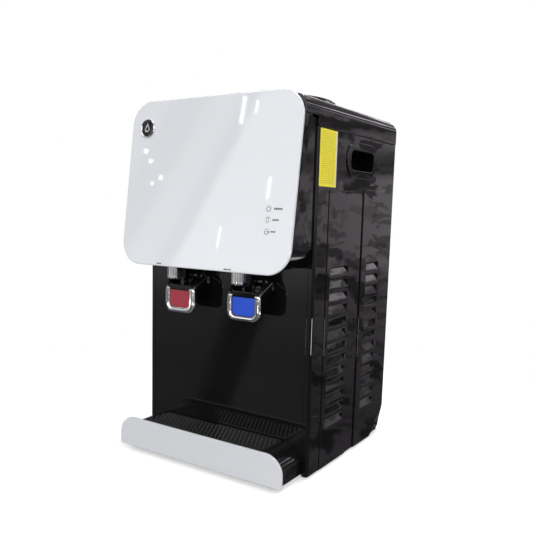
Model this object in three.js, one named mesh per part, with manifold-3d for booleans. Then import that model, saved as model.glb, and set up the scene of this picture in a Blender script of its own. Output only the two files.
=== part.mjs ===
// Countertop water dispenser with a bottle seat on top, two push-lever taps and a drip tray.
// Millimetres, +Z up, front towards -Y. The origin is on the resting surface, at the middle of
// the footprint, so the front plane of the cabinet is at FRONT_Y.

import * as THREE from 'three';
import { mergeVertices } from 'three/addons/utils/BufferGeometryUtils.js';
import Module from 'manifold-3d';

const wasm = await Module();
wasm.setup();

// ---------------------------------------------------------------- driving dimensions

const WIDTH = 300; // across the side panels
const CABINET_DEPTH = 270; // front panel face to rear edges
const TRAY_REACH = 69; // drip tray in front of the front panel
const FOOT_HEIGHT = 3;
const SEAM_Z = 494; // side panels meet the top cover
const COVER_TOP_Z = 532;
const COLLAR_TOP_Z = 549;
const PLATE_TILT = THREE.MathUtils.degToRad(7.1); // front plate leans back at its top

const GAP = 0.3; // clearance between touching pieces
const SKIN = 3; // moulded wall thickness
const HALF_WIDTH = WIDTH / 2;
const FRONT_Y = TRAY_REACH - (CABINET_DEPTH + TRAY_REACH) / 2;
const BASE_Z = FOOT_HEIGHT;
const AXIS_Y = 114; // bottle axis behind the front plane

// ---------------------------------------------------------------- materials

const COLOURS = {
  blackGloss: [0x131215, 0.16, 0],
  blackSatin: [0x1b1b1d, 0.45, 0],
  white: [0xdfe1e6, 0.24, 0],
  chrome: [0xc9cbd0, 0.12, 1],
  steel: [0x9a9da2, 0.35, 1],
  rubber: [0x222222, 0.85, 0],
  red: [0xb32a3e, 0.35, 0],
  blue: [0x1450cd, 0.35, 0],
  foam: [0xeceae0, 0.9, 0],
  copper: [0xb06a3c, 0.35, 1],
  board: [0x1d6b3a, 0.5, 0],
  silicone: [0xd8dcdc, 0.5, 0],
  lens: [0x3a3d42, 0.2, 0],
  brass: [0xb59445, 0.35, 1],
};

function material(name) {
  const [color, roughness, metalness] = COLOURS[name];
  return new THREE.MeshStandardMaterial({ color, roughness, metalness });
}

// ---------------------------------------------------------------- solid helpers

// Closed solid of a geometry, with shared vertices merged and zero-area triangles dropped.
function toSolid(geometry) {
  const bare = geometry.clone();
  for (const extra of ['normal', 'uv']) bare.deleteAttribute(extra);
  const merged = mergeVertices(bare, 1e-4);
  const corners = merged.index.array;
  const triangles = [];
  for (let i = 0; i < corners.length; i += 3) {
    const [a, b, c] = corners.subarray(i, i + 3);
    if (a !== b && b !== c && c !== a) triangles.push(a, b, c);
  }
  return new wasm.Manifold(new wasm.Mesh({
    numProp: 3,
    vertProperties: new Float32Array(merged.attributes.position.array),
    triVerts: new Uint32Array(triangles),
  }));
}

function toGeometry(solid) {
  const mesh = solid.getMesh();
  const geometry = new THREE.BufferGeometry();
  geometry.setAttribute('position', new THREE.BufferAttribute(mesh.vertProperties, 3));
  geometry.setIndex(new THREE.BufferAttribute(mesh.triVerts, 1));
  return geometry;
}

function join(...geometries) {
  return toGeometry(geometries.map(toSolid).reduce((whole, next) => whole.add(next)));
}

function cut(geometry, ...tools) {
  const remove = (rest, tool) => rest.subtract(tool);
  return toGeometry(tools.map(toSolid).reduce(remove, toSolid(geometry)));
}

function common(geometry, other) {
  return toGeometry(toSolid(geometry).intersect(toSolid(other)));
}

// A box given by its lowest and highest values on each axis.
function box([x0, x1], [y0, y1], [z0, z1]) {
  const geometry = new THREE.BoxGeometry(x1 - x0, y1 - y0, z1 - z0);
  return geometry.translate((x0 + x1) / 2, (y0 + y1) / 2, (z0 + z1) / 2);
}

// Basis changes that stand an extrusion along X, Y or Z.
const STAND = {
  x: new THREE.Matrix4().makeBasis(
    new THREE.Vector3(0, 1, 0), new THREE.Vector3(0, 0, 1), new THREE.Vector3(1, 0, 0)),
  y: new THREE.Matrix4().makeBasis(
    new THREE.Vector3(-1, 0, 0), new THREE.Vector3(0, 0, 1), new THREE.Vector3(0, 1, 0)),
  z: new THREE.Matrix4(),
};

// A shape pushed along an axis from one value to another. Along x the shape is drawn in (y, z),
// along y in (-x, z) and along z in (x, y).
function prism(shape, axis, from, to, curveSegments = 6) {
  const options = { depth: to - from, bevelEnabled: false, curveSegments };
  const geometry = new THREE.ExtrudeGeometry(shape, options);
  return geometry.translate(0, 0, from).applyMatrix4(STAND[axis]);
}

function cylinder(radius, axis, from, to, segments = 24) {
  const circle = new THREE.Shape().absarc(0, 0, radius, 0, 2 * Math.PI);
  return prism(circle, axis, from, to, segments / 2);
}

// A rectangle with its own radius at each corner, anticlockwise from the lower left.
function roundedRect([u0, u1], [v0, v1], [lowLeft, lowRight, highRight, highLeft]) {
  const shape = new THREE.Shape();
  const corners = [
    [u0 + lowLeft, v0 + lowLeft, lowLeft, Math.PI],
    [u1 - lowRight, v0 + lowRight, lowRight, 1.5 * Math.PI],
    [u1 - highRight, v1 - highRight, highRight, 0],
    [u0 + highLeft, v1 - highLeft, highLeft, 0.5 * Math.PI],
  ];
  corners.forEach(([u, v, radius, start], index) => {
    if (radius > 0) shape.absarc(u, v, radius, start, start + Math.PI / 2);
    else if (index === 0) shape.moveTo(u, v);
    else shape.lineTo(u, v);
  });
  shape.closePath();
  return shape;
}

// A closed outline through a list of [u, v] points.
function outline(points) {
  return new THREE.Shape(points.map(([u, v]) => new THREE.Vector2(u, v)));
}

// A solid of revolution about Z, from [radius, height] pairs that start and end on the axis
// or close on themselves.
function lathe(profile, segments = 24) {
  const points = profile.map(([radius, height]) => new THREE.Vector2(radius, height));
  return toGeometry(toSolid(new THREE.LatheGeometry(points, segments).rotateX(Math.PI / 2)));
}

// A round rod bent along a list of points.
function rod(points, radius, steps, sides = 6) {
  const stops = points.map((point) => new THREE.Vector3(...point));
  const path = new THREE.CatmullRomCurve3(stops, false, 'catmullrom');
  const corners = Array.from({ length: sides }, (_, i) => (2 * Math.PI * i) / sides);
  const corner = (angle) => [radius * Math.cos(angle), radius * Math.sin(angle)];
  const section = outline(corners.map(corner));
  return new THREE.ExtrudeGeometry(section, { steps, extrudePath: path, bevelEnabled: false });
}

function piece(name, geometry, colour, parent, position = [0, 0, 0]) {
  const mesh = new THREE.Mesh(geometry, material(colour));
  mesh.name = name;
  mesh.position.set(...position);
  parent.add(mesh);
  return mesh;
}

function group(parent, position = [0, 0, 0]) {
  const child = new THREE.Group();
  child.position.set(...position);
  parent.add(child);
  return child;
}

// The lowest and highest value of a stretch that is drawn for the right side and wanted on
// either side.
function span(side, inner, outer) {
  return side > 0 ? [inner, outer] : [-outer, -inner];
}

// ---------------------------------------------------------------- cabinet

const dispenser = new THREE.Group();
const cabinet = group(dispenser, [0, FRONT_Y, 0]); // y is measured from the front plane here

const FLOOR_TOP = BASE_Z + 6;
const APRON_TOP = 31;
const FLOOR_DEPTH = [4.5, 258.5];
const FLANGE_X = HALF_WIDTH - 9; // side panels wrap round the front this far
const PANEL_TOP = SEAM_Z - GAP;
const REAR_PANEL_Y = 259;

const FOOT = { radius: 11, stem: 3.5, x: 128, front: 22, rear: 240 };

function buildBase() {
  const floor = box([-145.5, 145.5], FLOOR_DEPTH, [BASE_Z, FLOOR_TOP]);
  const apronHalf = FLANGE_X - GAP;
  const apron = box([-apronHalf, apronHalf], [4 - TRAY_REACH, 8], [BASE_Z + 3, APRON_TOP]);
  const cuts = [];
  const places = [
    ['foot_front_left', -FOOT.x, FOOT.front],
    ['foot_front_right', FOOT.x, FOOT.front],
    ['foot_rear_left', -FOOT.x, FOOT.rear],
    ['foot_rear_right', FOOT.x, FOOT.rear],
  ];
  for (const [name, x, y] of places) {
    cuts.push(cylinder(FOOT.stem + GAP, 'z', 0, FLOOR_TOP + 1, 12).translate(x, y, 0));
    const profile = [
      [0, 0], [FOOT.radius - 1, 0], [FOOT.radius, 1], [FOOT.radius - 1, BASE_Z - GAP],
      [FOOT.stem, BASE_Z - GAP], [FOOT.stem, FLOOR_TOP - 1], [0, FLOOR_TOP - 1],
    ];
    piece(name, lathe(profile, 14), 'rubber', cabinet, [x, y, 0]);
  }
  for (const x of [-75, -25, 25, 75]) {
    cuts.push(box([x - 18, x + 18], [110, 116], [0, FLOOR_TOP + 1]));
  }
  piece('base_frame', cut(join(floor, apron), ...cuts), 'blackSatin', cabinet);
}

const LOUVRE = { rows: 13, pitch: 18.9, top: 299, slot: 6, columns: [[46, 106], [168, 218]] };
const FRONT_GROOVE = { y: [33, 36.5], top: 412 };
const GRIP = { y: [100, 181], z: [439, 476], depth: 27, wall: 2.5, radius: 10 };

function gripOutline(margin) {
  const radii = Array(4).fill(GRIP.radius + margin);
  const ends = ([low, high]) => [low - margin, high + margin];
  return roundedRect(ends(GRIP.y), ends(GRIP.z), radii);
}

function buildSidePanel(name, side) {
  const reach = (inner, outer) => span(side, HALF_WIDTH - inner, HALF_WIDTH - outer);
  const sheet = box(reach(SKIN, 0), [0, CABINET_DEPTH], [BASE_Z, PANEL_TOP]);
  const frontFlange = box(reach(9, 0), [0, SKIN], [BASE_Z, PANEL_TOP]);
  const rear = [CABINET_DEPTH - SKIN, CABINET_DEPTH];
  const rearFlange = box(reach(9, 0), rear, [BASE_Z, PANEL_TOP]);
  const pocket = prism(gripOutline(GRIP.wall), 'x', ...reach(GRIP.depth, 1), 3);
  const hollow = prism(gripOutline(0), 'x', ...reach(GRIP.depth - GRIP.wall, -2), 3);
  const frontStep = box(reach(1.2, -1), FRONT_GROOVE.y, [0, FRONT_GROOVE.top]);
  const cuts = [hollow, frontStep];
  for (const column of LOUVRE.columns) {
    for (let row = 0; row < LOUVRE.rows; row += 1) {
      const top = LOUVRE.top - row * LOUVRE.pitch;
      cuts.push(box(reach(SKIN + 1, -1), column, [top - LOUVRE.slot, top]));
    }
  }
  piece(name, cut(join(sheet, frontFlange, rearFlange, pocket), ...cuts), 'blackGloss', cabinet);
}

const TAP_X = 58.5;
const TAP_Z = 288; // centre of the threaded shank
const SHANK_RADIUS = 9;

function buildFrontPanel() {
  const half = FLANGE_X - GAP;
  const sheet = box([-half, half], [0, SKIN], [APRON_TOP + GAP, PANEL_TOP]);
  const holes = [-TAP_X, TAP_X].map((x) => (
    cylinder(SHANK_RADIUS + GAP, 'y', -1, SKIN + 1, 20).translate(x, 0, TAP_Z)));
  piece('front_panel', cut(sheet, ...holes), 'blackGloss', cabinet);
}

const SWITCHES = { x: [50, 112], z: [62, 96], y: 257, rockerX: [66, 96] };
const INLET = { x: [-14, 14], z: [66, 90] };
const DRAIN = { x: -80, z: 62, radius: 8 };

function buildRearPanel() {
  const sheet = box([-146.5, 146.5], [REAR_PANEL_Y, REAR_PANEL_Y + 2], [FLOOR_TOP + GAP, PANEL_TOP]);
  const beside = ([low, high], margin) => [low - margin, high + margin];
  const depth = [REAR_PANEL_Y - 1, REAR_PANEL_Y + 3];
  const cuts = [
    box(beside(SWITCHES.x, GAP), depth, beside(SWITCHES.z, GAP)),
    box(beside(INLET.x, GAP), depth, beside(INLET.z, GAP)),
    cylinder(DRAIN.radius + GAP, 'y', ...depth, 16).translate(DRAIN.x, 0, DRAIN.z),
  ];
  for (let row = 0; row < 5; row += 1) {
    for (const side of [-1, 1]) {
      cuts.push(box(span(side, 20, 110), depth, [30 + 6 * row, 32.5 + 6 * row]));
    }
  }
  piece('rear_panel', cut(sheet, ...cuts), 'blackSatin', cabinet);
}

// ---------------------------------------------------------------- front housing and plate

const PLATE = { width: 299, length: 243.9, radius: 36, thickness: 4.5, y: -67.8, z: 296 };
const HOUSING = { x: 148.5, bottom: 300, top: 507, radius: 36 };
const BADGE = { x: -117.6, z: 203, ring: 14, face: 11.7 };
const LENSES = { x: 110, radius: 4.2, heights: { lens_power: 87.6, lens_cold: 73, lens_hot: 57.5 } };

// Everything in front of a plane parallel to the plate, a given way behind the plate's face.
function beforePlate(behind) {
  const tool = box([-400, 400], [-200, behind], [-200, 600]);
  return tool.rotateX(-PLATE_TILT).translate(0, PLATE.y, PLATE.z);
}

function housingBlock(shrink, behind, back) {
  const x = HOUSING.x - shrink;
  const ends = [HOUSING.bottom + shrink, HOUSING.top - shrink];
  const radius = HOUSING.radius - shrink;
  const block = prism(roundedRect([-x, x], ends, [radius, radius, 0, 0]), 'y', -90, back, 8);
  return cut(block, beforePlate(behind));
}

function buildHousing() {
  const front = PLATE.thickness + GAP;
  const shell = cut(housingBlock(0, front, -GAP), housingBlock(SKIN, front + SKIN, 5));
  piece('front_housing', shell, 'blackGloss', cabinet);
}

function buildPlate() {
  const tilted = group(cabinet, [0, PLATE.y, PLATE.z]);
  tilted.rotation.x = -PLATE_TILT;
  const half = PLATE.width / 2;
  const corners = Array(4).fill(PLATE.radius);
  const face = prism(roundedRect([-half, half], [0, PLATE.length], corners), 'y', 0, PLATE.thickness, 8);
  const lensPlaces = Object.entries(LENSES.heights);
  const holes = lensPlaces.map(([, z]) => (
    cylinder(LENSES.radius + GAP, 'y', -1, PLATE.thickness + 1, 16).translate(LENSES.x, 0, z)));
  piece('front_plate', cut(face, ...holes), 'white', tilted);
  for (const [name, z] of lensPlaces) {
    const lens = cylinder(LENSES.radius, 'y', 0.2, PLATE.thickness - 0.2, 16);
    piece(name, lens, 'lens', tilted, [LENSES.x, 0, z]);
  }
  const ring = cut(cylinder(BADGE.ring, 'y', -2.2, -GAP), cylinder(BADGE.face + GAP, 'y', -3, 0));
  piece('badge_ring', ring, 'chrome', tilted, [BADGE.x, 0, BADGE.z]);
  piece('badge_face', cylinder(BADGE.face, 'y', -1.6, -GAP), 'blackGloss', tilted, [BADGE.x, 0, BADGE.z]);
  const board = box([LENSES.x - 14, LENSES.x + 14], [9, 10.6], [50, 96]);
  piece('indicator_board', board, 'board', tilted);
}

// ---------------------------------------------------------------- top cover and bottle seat

const COVER = { edge: 18, rearEdge: 15, opening: 104.5 };

function coverBlock(shrink, low) {
  const x = HALF_WIDTH - shrink;
  const top = COVER_TOP_Z - shrink;
  const edge = COVER.edge - shrink;
  const rearEdge = COVER.rearEdge - shrink;
  const section = roundedRect([-x, x], [low, top], [0, 0, edge, edge]);
  const across = prism(section, 'y', -90, CABINET_DEPTH - shrink);
  const along = roundedRect([-90, CABINET_DEPTH - shrink], [low, top], [0, 0, rearEdge, 0]);
  return common(across, prism(along, 'x', -HALF_WIDTH, HALF_WIDTH));
}

function buildTopCover() {
  const front = PLATE.thickness + GAP;
  const underTongue = box([-200, 200], [-100, 0], [0, HOUSING.top + GAP]);
  const outside = cut(coverBlock(0, SEAM_Z), beforePlate(front), underTongue);
  const overHousing = box([-200, 200], [-100, SKIN], [0, HOUSING.top - 2]);
  const inside = cut(coverBlock(SKIN, SEAM_Z - 10), beforePlate(front + SKIN), overHousing);
  const opening = cylinder(COVER.opening, 'z', 500, 560, 36).translate(0, AXIS_Y, 0);
  piece('top_cover', cut(outside, inside, opening), 'blackGloss', cabinet);
}

const NECK = { inner: 30, outer: 33, bottom: 462 };

function buildReceptacle() {
  const flange = COVER_TOP_Z + GAP;
  const profile = [
    [NECK.inner, NECK.bottom], [NECK.outer, NECK.bottom], [NECK.outer, 483], [43, 485.5], [91, 508],
    [100, 526], [100, flange], [124, flange], [124, flange + 3], [122, flange + 5],
    [104, flange + 5], [102, COLLAR_TOP_Z - 1.5], [100.5, COLLAR_TOP_Z], [97.5, COLLAR_TOP_Z],
    [96, COLLAR_TOP_Z - 2], [88, 511], [41, 489], [31.5, 486.5], [NECK.inner, 484],
    [NECK.inner, NECK.bottom],
  ];
  piece('bottle_receptacle', lathe(profile, 36), 'blackGloss', cabinet, [0, AXIS_Y, 0]);
  const post = lathe([
    [0, 463], [NECK.inner - 0.4, 463], [NECK.inner - 0.4, 466], [9, 468], [8, 516], [5, 523], [0, 524],
  ], 20);
  const ports = [[20, 0], [0, 20], [-20, 0], [0, -20]].map(([x, y]) => (
    cylinder(5, 'z', 460, 470, 10).translate(x, y, 0)));
  piece('bottle_probe', cut(post, ...ports), 'white', cabinet, [0, AXIS_Y, 0]);
  const inner = NECK.outer + GAP;
  const seal = [[inner, 470], [38, 470], [38, 476], [inner, 476], [inner, 470]];
  piece('receptacle_seal', lathe(seal), 'silicone', cabinet, [0, AXIS_Y, 0]);
}

// ---------------------------------------------------------------- tanks and cooling

const TANK = { radius: 74, bottom: 330, shoulder: 455, mouth: 38.4, neck: 41, top: 478 };
const HOT = { x: -62, y: 90, radius: 42, bottom: 140, top: 270 };
const COIL_RADIUS = 80.2;
const COMPRESSOR = { x: 48, y: 165, radius: 52, bottom: 13 };

function buildTanks() {
  const { radius, bottom, shoulder, mouth, neck, top } = TANK;
  const tank = [
    [0, bottom], [radius, bottom], [radius, shoulder - 2], [neck, shoulder + 2], [neck, top],
    [mouth, top], [mouth, shoulder], [radius - 2, shoulder - 4], [radius - 2, bottom + 2],
    [0, bottom + 2],
  ];
  piece('cold_tank', lathe(tank), 'steel', cabinet, [0, AXIS_Y, 0]);
  const foam = [
    [0, 318], [96, 318], [96, 450], [85, 450], [85, bottom - 0.5], [0, bottom - 0.5],
  ];
  piece('tank_insulation', lathe(foam), 'foam', cabinet, [0, AXIS_Y, 0]);
  const turns = 3;
  const coil = Array.from({ length: turns * 12 + 1 }, (_, i) => {
    const angle = (2 * Math.PI * i) / 12;
    return [COIL_RADIUS * Math.cos(angle), COIL_RADIUS * Math.sin(angle), 345 + 2.4 * i];
  });
  piece('evaporator_coil', rod(coil, 3, turns * 14), 'copper', cabinet, [0, AXIS_Y, 0]);
}

function buildHotTank() {
  const { radius, bottom, top } = HOT;
  const can = [
    [0, bottom], [radius - 4, bottom], [radius, bottom + 4], [radius, top - 10],
    [radius - 8, top - 4], [6, top - 2], [6, top], [4, top], [4, top - 4], [radius - 9, top - 6],
    [radius - 1.5, top - 11], [radius - 1.5, bottom + 5], [radius - 5, bottom + 1.5],
    [0, bottom + 1.5],
  ];
  piece('hot_tank', lathe(can, 20), 'steel', cabinet, [HOT.x, HOT.y, 0]);
}

function buildCooling() {
  const { bottom } = COMPRESSOR;
  const shell = [
    [0, bottom], [38, bottom], [COMPRESSOR.radius, bottom + 16], [COMPRESSOR.radius, bottom + 66],
    [44, bottom + 88], [26, bottom + 99], [0, bottom + 102],
  ];
  piece('compressor', lathe(shell, 22), 'blackSatin', cabinet, [COMPRESSOR.x, COMPRESSOR.y, 0]);
  const plate = box([-14, 110], [110, 220], [FLOOR_TOP + GAP, bottom - GAP]);
  piece('compressor_bracket', plate, 'steel', cabinet);
  const drier = [[0, 70], [2.5, 70], [2.5, 78], [8, 84], [8, 136], [2.5, 142], [2.5, 150], [0, 150]];
  piece('filter_drier', lathe(drier, 14), 'copper', cabinet, [120, 235, 0]);
  buildCondenser();
}

const CONDENSER = { x: 112, y: 266, low: 130, runs: 9, pitch: 36, radius: 2.2 };

// Straight runs joined by half-round bends, in one plane behind the rear panel.
function buildCondenser() {
  const bend = CONDENSER.pitch / 2;
  const straight = CONDENSER.x - bend;
  const parts = [];
  for (let run = 0; run < CONDENSER.runs; run += 1) {
    const z = CONDENSER.low + run * CONDENSER.pitch;
    const line = cylinder(CONDENSER.radius, 'x', -straight - 0.5, straight + 0.5, 6);
    parts.push(line.translate(0, CONDENSER.y, z));
    if (run === CONDENSER.runs - 1) continue;
    const side = run % 2 === 0 ? 1 : -1;
    const arc = Array.from({ length: 7 }, (_, i) => {
      const angle = (Math.PI * i) / 6 - Math.PI / 2;
      return [side * (straight + bend * Math.cos(angle)), CONDENSER.y, z + bend + bend * Math.sin(angle)];
    });
    parts.push(rod(arc, CONDENSER.radius, 6));
  }
  piece('condenser_coil', join(...parts), 'blackSatin', cabinet);
  const depth = [REAR_PANEL_Y + 2 + GAP, CONDENSER.y - CONDENSER.radius - GAP];
  for (const [name, side] of [['condenser_bracket_left', -1], ['condenser_bracket_right', 1]]) {
    piece(name, box(span(side, 76, 84), depth, [118, 430]), 'steel', cabinet);
  }
}

function buildTubes() {
  const shankEnd = 24.5;
  const cold = [
    [40, 70, 314], [42, 66, 305], [54, 48, 291], [TAP_X, 36, TAP_Z], [TAP_X, shankEnd, TAP_Z],
  ];
  piece('cold_water_tube', rod(cold, 4, 14), 'silicone', cabinet);
  const hot = [
    [HOT.x, HOT.y, HOT.top + 1], [HOT.x, 84, 284], [-TAP_X, 60, TAP_Z], [-TAP_X, 36, TAP_Z],
    [-TAP_X, shankEnd, TAP_Z],
  ];
  piece('hot_water_tube', rod(hot, 4, 14), 'silicone', cabinet);
}

// ---------------------------------------------------------------- rear fittings

const ROCKER = { halfWidth: 11, halfHeight: 10, tilt: THREE.MathUtils.degToRad(9) };

function buildRearFittings() {
  const face = REAR_PANEL_Y + 2 + GAP;
  const [x0, x1] = SWITCHES.x;
  const [z0, z1] = SWITCHES.z;
  const flange = box([x0 - 2, x1 + 2], [face, face + 2], [z0 - 2, z1 + 2]);
  const body = box([x0 + 0.5, x1 - 0.5], [236, face + 1], [z0 + 0.5, z1 - 0.5]);
  const middle = (z0 + z1) / 2;
  const about = (centre, half) => [centre - half, centre + half];
  const pockets = SWITCHES.rockerX.map((x) => (
    box(about(x, ROCKER.halfWidth + 0.5), [246, 270], about(middle, 12.5))));
  piece('switch_housing', cut(join(flange, body), ...pockets), 'blackSatin', cabinet);
  const profile = outline([[5, 0], [7.5, 10], [-2, 9], [-6, 0], [-2, -9], [7.5, -10]]);
  const names = ['cold_switch', 'hot_switch'];
  names.forEach((name, index) => {
    const rocker = prism(profile, 'x', -ROCKER.halfWidth, ROCKER.halfWidth);
    const colour = name === 'hot_switch' ? 'red' : 'blackSatin';
    const place = [SWITCHES.rockerX[index], SWITCHES.y, middle];
    piece(name, rocker, colour, cabinet, place).rotation.x = -ROCKER.tilt;
  });
  const inletBox = (margin, depth) => {
    const grow = ([low, high]) => [low - margin, high + margin];
    return box(grow(INLET.x), depth, grow(INLET.z));
  };
  const inletFlange = inletBox(2, [face, face + 2]);
  const inletBody = inletBox(-GAP, [238, face + 1]);
  const socket = inletBox(-3, [244, 270]);
  piece('power_inlet', cut(join(inletFlange, inletBody), socket), 'blackSatin', cabinet);
  const pipe = cut(cylinder(DRAIN.radius, 'y', 240, 266, 16), cylinder(5, 'y', 239, 267, 12));
  piece('drain_spout', pipe, 'white', cabinet, [DRAIN.x, 0, DRAIN.z]);
  const capBore = cylinder(DRAIN.radius + GAP, 'y', 255, 267, 16);
  const cap = cut(cylinder(12, 'y', face + 0.2, 269.6, 20), capBore);
  piece('drain_cap', cap, 'blackSatin', cabinet, [DRAIN.x, 0, DRAIN.z]);
}

// ---------------------------------------------------------------- taps

const TAP = { half: 13.5, bottom: 276.5, top: 299.5, split: -41 };
const SPOUT = { half: 10, front: -56, bottom: 278, bore: 5, radius: 2.5 };
const PIVOT = { y: -19, z: 281, radius: 2 };
const STEM = { y: -11, radius: 2.5, head: 5.3, chamber: 5.9, seat: 284 };
const WEB = { top: PIVOT.z - 14, thickness: 3 };
const ARM = { inner: 23.3, outer: 27.8 };
const PADDLE = {
  front: -36.8, back: -33, low: 224.6, high: 262, half: 28.5, insetHalf: 19, insetLow: 232,
};

function tapBody() {
  const block = box([-TAP.half, TAP.half], [TAP.split + GAP, -GAP], [TAP.bottom, TAP.top]);
  const shank = cylinder(SHANK_RADIUS, 'y', -2, 24, 20).translate(0, 0, TAP_Z);
  const cuts = [
    cylinder(STEM.radius + 0.4, 'z', TAP.bottom - 1, STEM.seat + 1, 12).translate(0, STEM.y, 0),
    cylinder(STEM.chamber, 'z', STEM.seat, TAP.top - 2, 16).translate(0, STEM.y, 0),
    cylinder(PIVOT.radius + 0.35, 'x', -20, 20, 12).translate(0, PIVOT.y, PIVOT.z),
    cylinder(5, 'y', 2, 25, 12).translate(0, 0, TAP_Z),
  ];
  return cut(join(block, shank), ...cuts);
}

function tapSpout() {
  const corners = [SPOUT.radius, SPOUT.radius, 0, 0];
  const plan = roundedRect([-SPOUT.half, SPOUT.half], [SPOUT.front, TAP.split], corners);
  const bore = cylinder(SPOUT.bore, 'z', SPOUT.bottom - 1, TAP.top - 8, 14);
  const block = prism(plan, 'z', SPOUT.bottom, TAP.top);
  return cut(block, bore.translate(0, (SPOUT.front + TAP.split) / 2, 0));
}

function leverBody() {
  const side = outline([
    [-33, 266], [-33, 250], [-26, 247], [-4.5, 270], [-4.5, 281], [-10, 288], [-24, 288], [-33, 272],
  ]);
  const arms = [-1, 1].map((end) => prism(side, 'x', ...span(end, ARM.inner, ARM.outer)));
  const web = box([-24, 24], [-32, -5.5], [WEB.top - WEB.thickness, WEB.top]);
  const back = box([-ARM.outer, ARM.outer], [PADDLE.back, -30.5], [PADDLE.low + 4, WEB.top]);
  const brow = box([-PADDLE.insetHalf, PADDLE.insetHalf], [-36, -31], [258.6, WEB.top]);
  const hole = cylinder(PIVOT.radius + 0.35, 'x', -40, 40, 12).translate(0, PIVOT.y, PIVOT.z);
  return cut(join(...arms, web, back, brow), hole);
}

function leverFrame() {
  const across = [-PADDLE.half, PADDLE.half];
  const outer = roundedRect(across, [PADDLE.low, PADDLE.high], [14, 14, 2, 2]);
  const half = PADDLE.insetHalf + GAP;
  const inner = roundedRect([-half, half], [PADDLE.insetLow, PADDLE.high + 5], [8, 8, 0, 0]);
  const depth = [PADDLE.front, PADDLE.back - GAP];
  return cut(prism(outer, 'y', ...depth), prism(inner, 'y', depth[0] - 1, depth[1] + 1));
}

function leverInsert() {
  const ends = [PADDLE.insetLow + GAP, 258.3];
  const face = roundedRect([-PADDLE.insetHalf, PADDLE.insetHalf], ends, [7.7, 7.7, 2, 2]);
  return prism(face, 'y', PADDLE.front - 0.4, PADDLE.back - GAP, 4);
}

function valveStem() {
  const tip = WEB.top + GAP;
  const dome = [0, 1, 2, 3].map((step) => {
    const angle = (step * Math.PI) / 6;
    return [STEM.radius * Math.sin(angle), tip + STEM.radius * (1 - Math.cos(angle))];
  });
  const head = STEM.seat + 0.5;
  return lathe([
    ...dome, [STEM.radius, head], [STEM.head, head], [STEM.head, head + 2.5], [0, head + 2.5],
  ], 14);
}

function valveSpring() {
  const low = STEM.seat + 4;
  const rise = TAP.top - 3.6 - low;
  const turns = 3;
  const points = Array.from({ length: turns * 8 + 1 }, (_, i) => {
    const angle = (2 * Math.PI * i) / 8;
    return [4.3 * Math.cos(angle), 4.3 * Math.sin(angle), low + (rise * i) / (turns * 8)];
  });
  return rod(points, 0.6, turns * 9, 5);
}

function buildTap(name, x, colour) {
  const tap = group(cabinet, [x, 0, 0]);
  piece(`tap_body_${name}`, tapBody(), 'blackSatin', tap);
  piece(`spout_${name}`, tapSpout(), 'chrome', tap);
  const nut = cut(cylinder(15, 'y', SKIN + GAP, 11, 6), cylinder(SHANK_RADIUS + GAP, 'y', 0, 12, 20));
  piece(`tap_nut_${name}`, nut, 'white', tap, [0, 0, TAP_Z]);
  const pin = cylinder(PIVOT.radius, 'x', -ARM.outer, ARM.outer, 12);
  piece(`lever_pin_${name}`, pin, 'steel', tap, [0, PIVOT.y, PIVOT.z]);
  piece(`lever_${name}`, leverBody(), 'blackSatin', tap);
  piece(`lever_frame_${name}`, leverFrame(), 'chrome', tap);
  piece(`lever_insert_${name}`, leverInsert(), colour, tap);
  piece(`valve_stem_${name}`, valveStem(), 'white', tap, [0, STEM.y, 0]);
  piece(`valve_spring_${name}`, valveSpring(), 'steel', tap, [0, STEM.y, 0]);
}

// ---------------------------------------------------------------- drip tray

const TRAY = { half: 142, top: 50.5, radius: 34, front: 4.1 - TRAY_REACH, back: -0.5 };
const FASCIA = { low: 8.3, high: 55.2, foot: 4, shoulder: 28 };
const GRILLE = { half: 112, low: 49, top: 51.8, columns: 11, rows: 3, hole: 3.4 };

function buildTray() {
  const corners = [0, 0, TRAY.radius, TRAY.radius];
  const shoulders = roundedRect([-TRAY.half, TRAY.half], [0, TRAY.top], corners);
  const block = common(
    prism(shoulders, 'y', TRAY.front, TRAY.back),
    box([-200, 200], [-200, 0], [APRON_TOP + GAP, 100]));
  const hollow = box([-104, 104], [TRAY.front + 4, TRAY.back - 4], [APRON_TOP + 3, 100]);
  const rebateHalf = GRILLE.half + GAP;
  const rebate = box([-rebateHalf, rebateHalf], [-100, TRAY.back - 2], [GRILLE.low - GAP, 100]);
  piece('drip_tray', cut(block, hollow, rebate), 'blackSatin', cabinet);
  const { low, high, foot, shoulder } = FASCIA;
  const front = roundedRect([-HALF_WIDTH, HALF_WIDTH], [low, high], [foot, foot, shoulder, shoulder]);
  piece('drip_tray_fascia', prism(front, 'y', -TRAY_REACH, TRAY.front - GAP, 8), 'white', cabinet);
  buildGrille();
}

function buildGrille() {
  const back = TRAY.back - 2.3;
  const front = TRAY.front + 0.1;
  const plan = roundedRect([-GRILLE.half, GRILLE.half], [front, back], [0, 0, 9, 9]);
  const holes = [];
  const stepX = (2 * GRILLE.half - 20) / GRILLE.columns;
  const stepY = (back - front - 8) / GRILLE.rows;
  for (let column = 0; column < GRILLE.columns; column += 1) {
    for (let row = 0; row < GRILLE.rows; row += 1) {
      const x = (column - (GRILLE.columns - 1) / 2) * stepX;
      const y = front + 4 + (row + 0.5) * stepY;
      holes.push(cylinder(GRILLE.hole, 'z', GRILLE.low - 1, GRILLE.top + 1, 6).translate(x, y, 0));
    }
  }
  piece('drip_grille', cut(prism(plan, 'z', GRILLE.low, GRILLE.top, 4), ...holes), 'blackGloss', cabinet);
}

buildBase();
buildSidePanel('left_side_panel', -1);
buildSidePanel('right_side_panel', 1);
buildFrontPanel();
buildRearPanel();
buildHousing();
buildPlate();
buildTopCover();
buildReceptacle();
buildTanks();
buildHotTank();
buildCooling();
buildTubes();
buildRearFittings();
buildTap('hot', -TAP_X, 'red');
buildTap('cold', TAP_X, 'blue');
buildTray();

export default dispenser;
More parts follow.
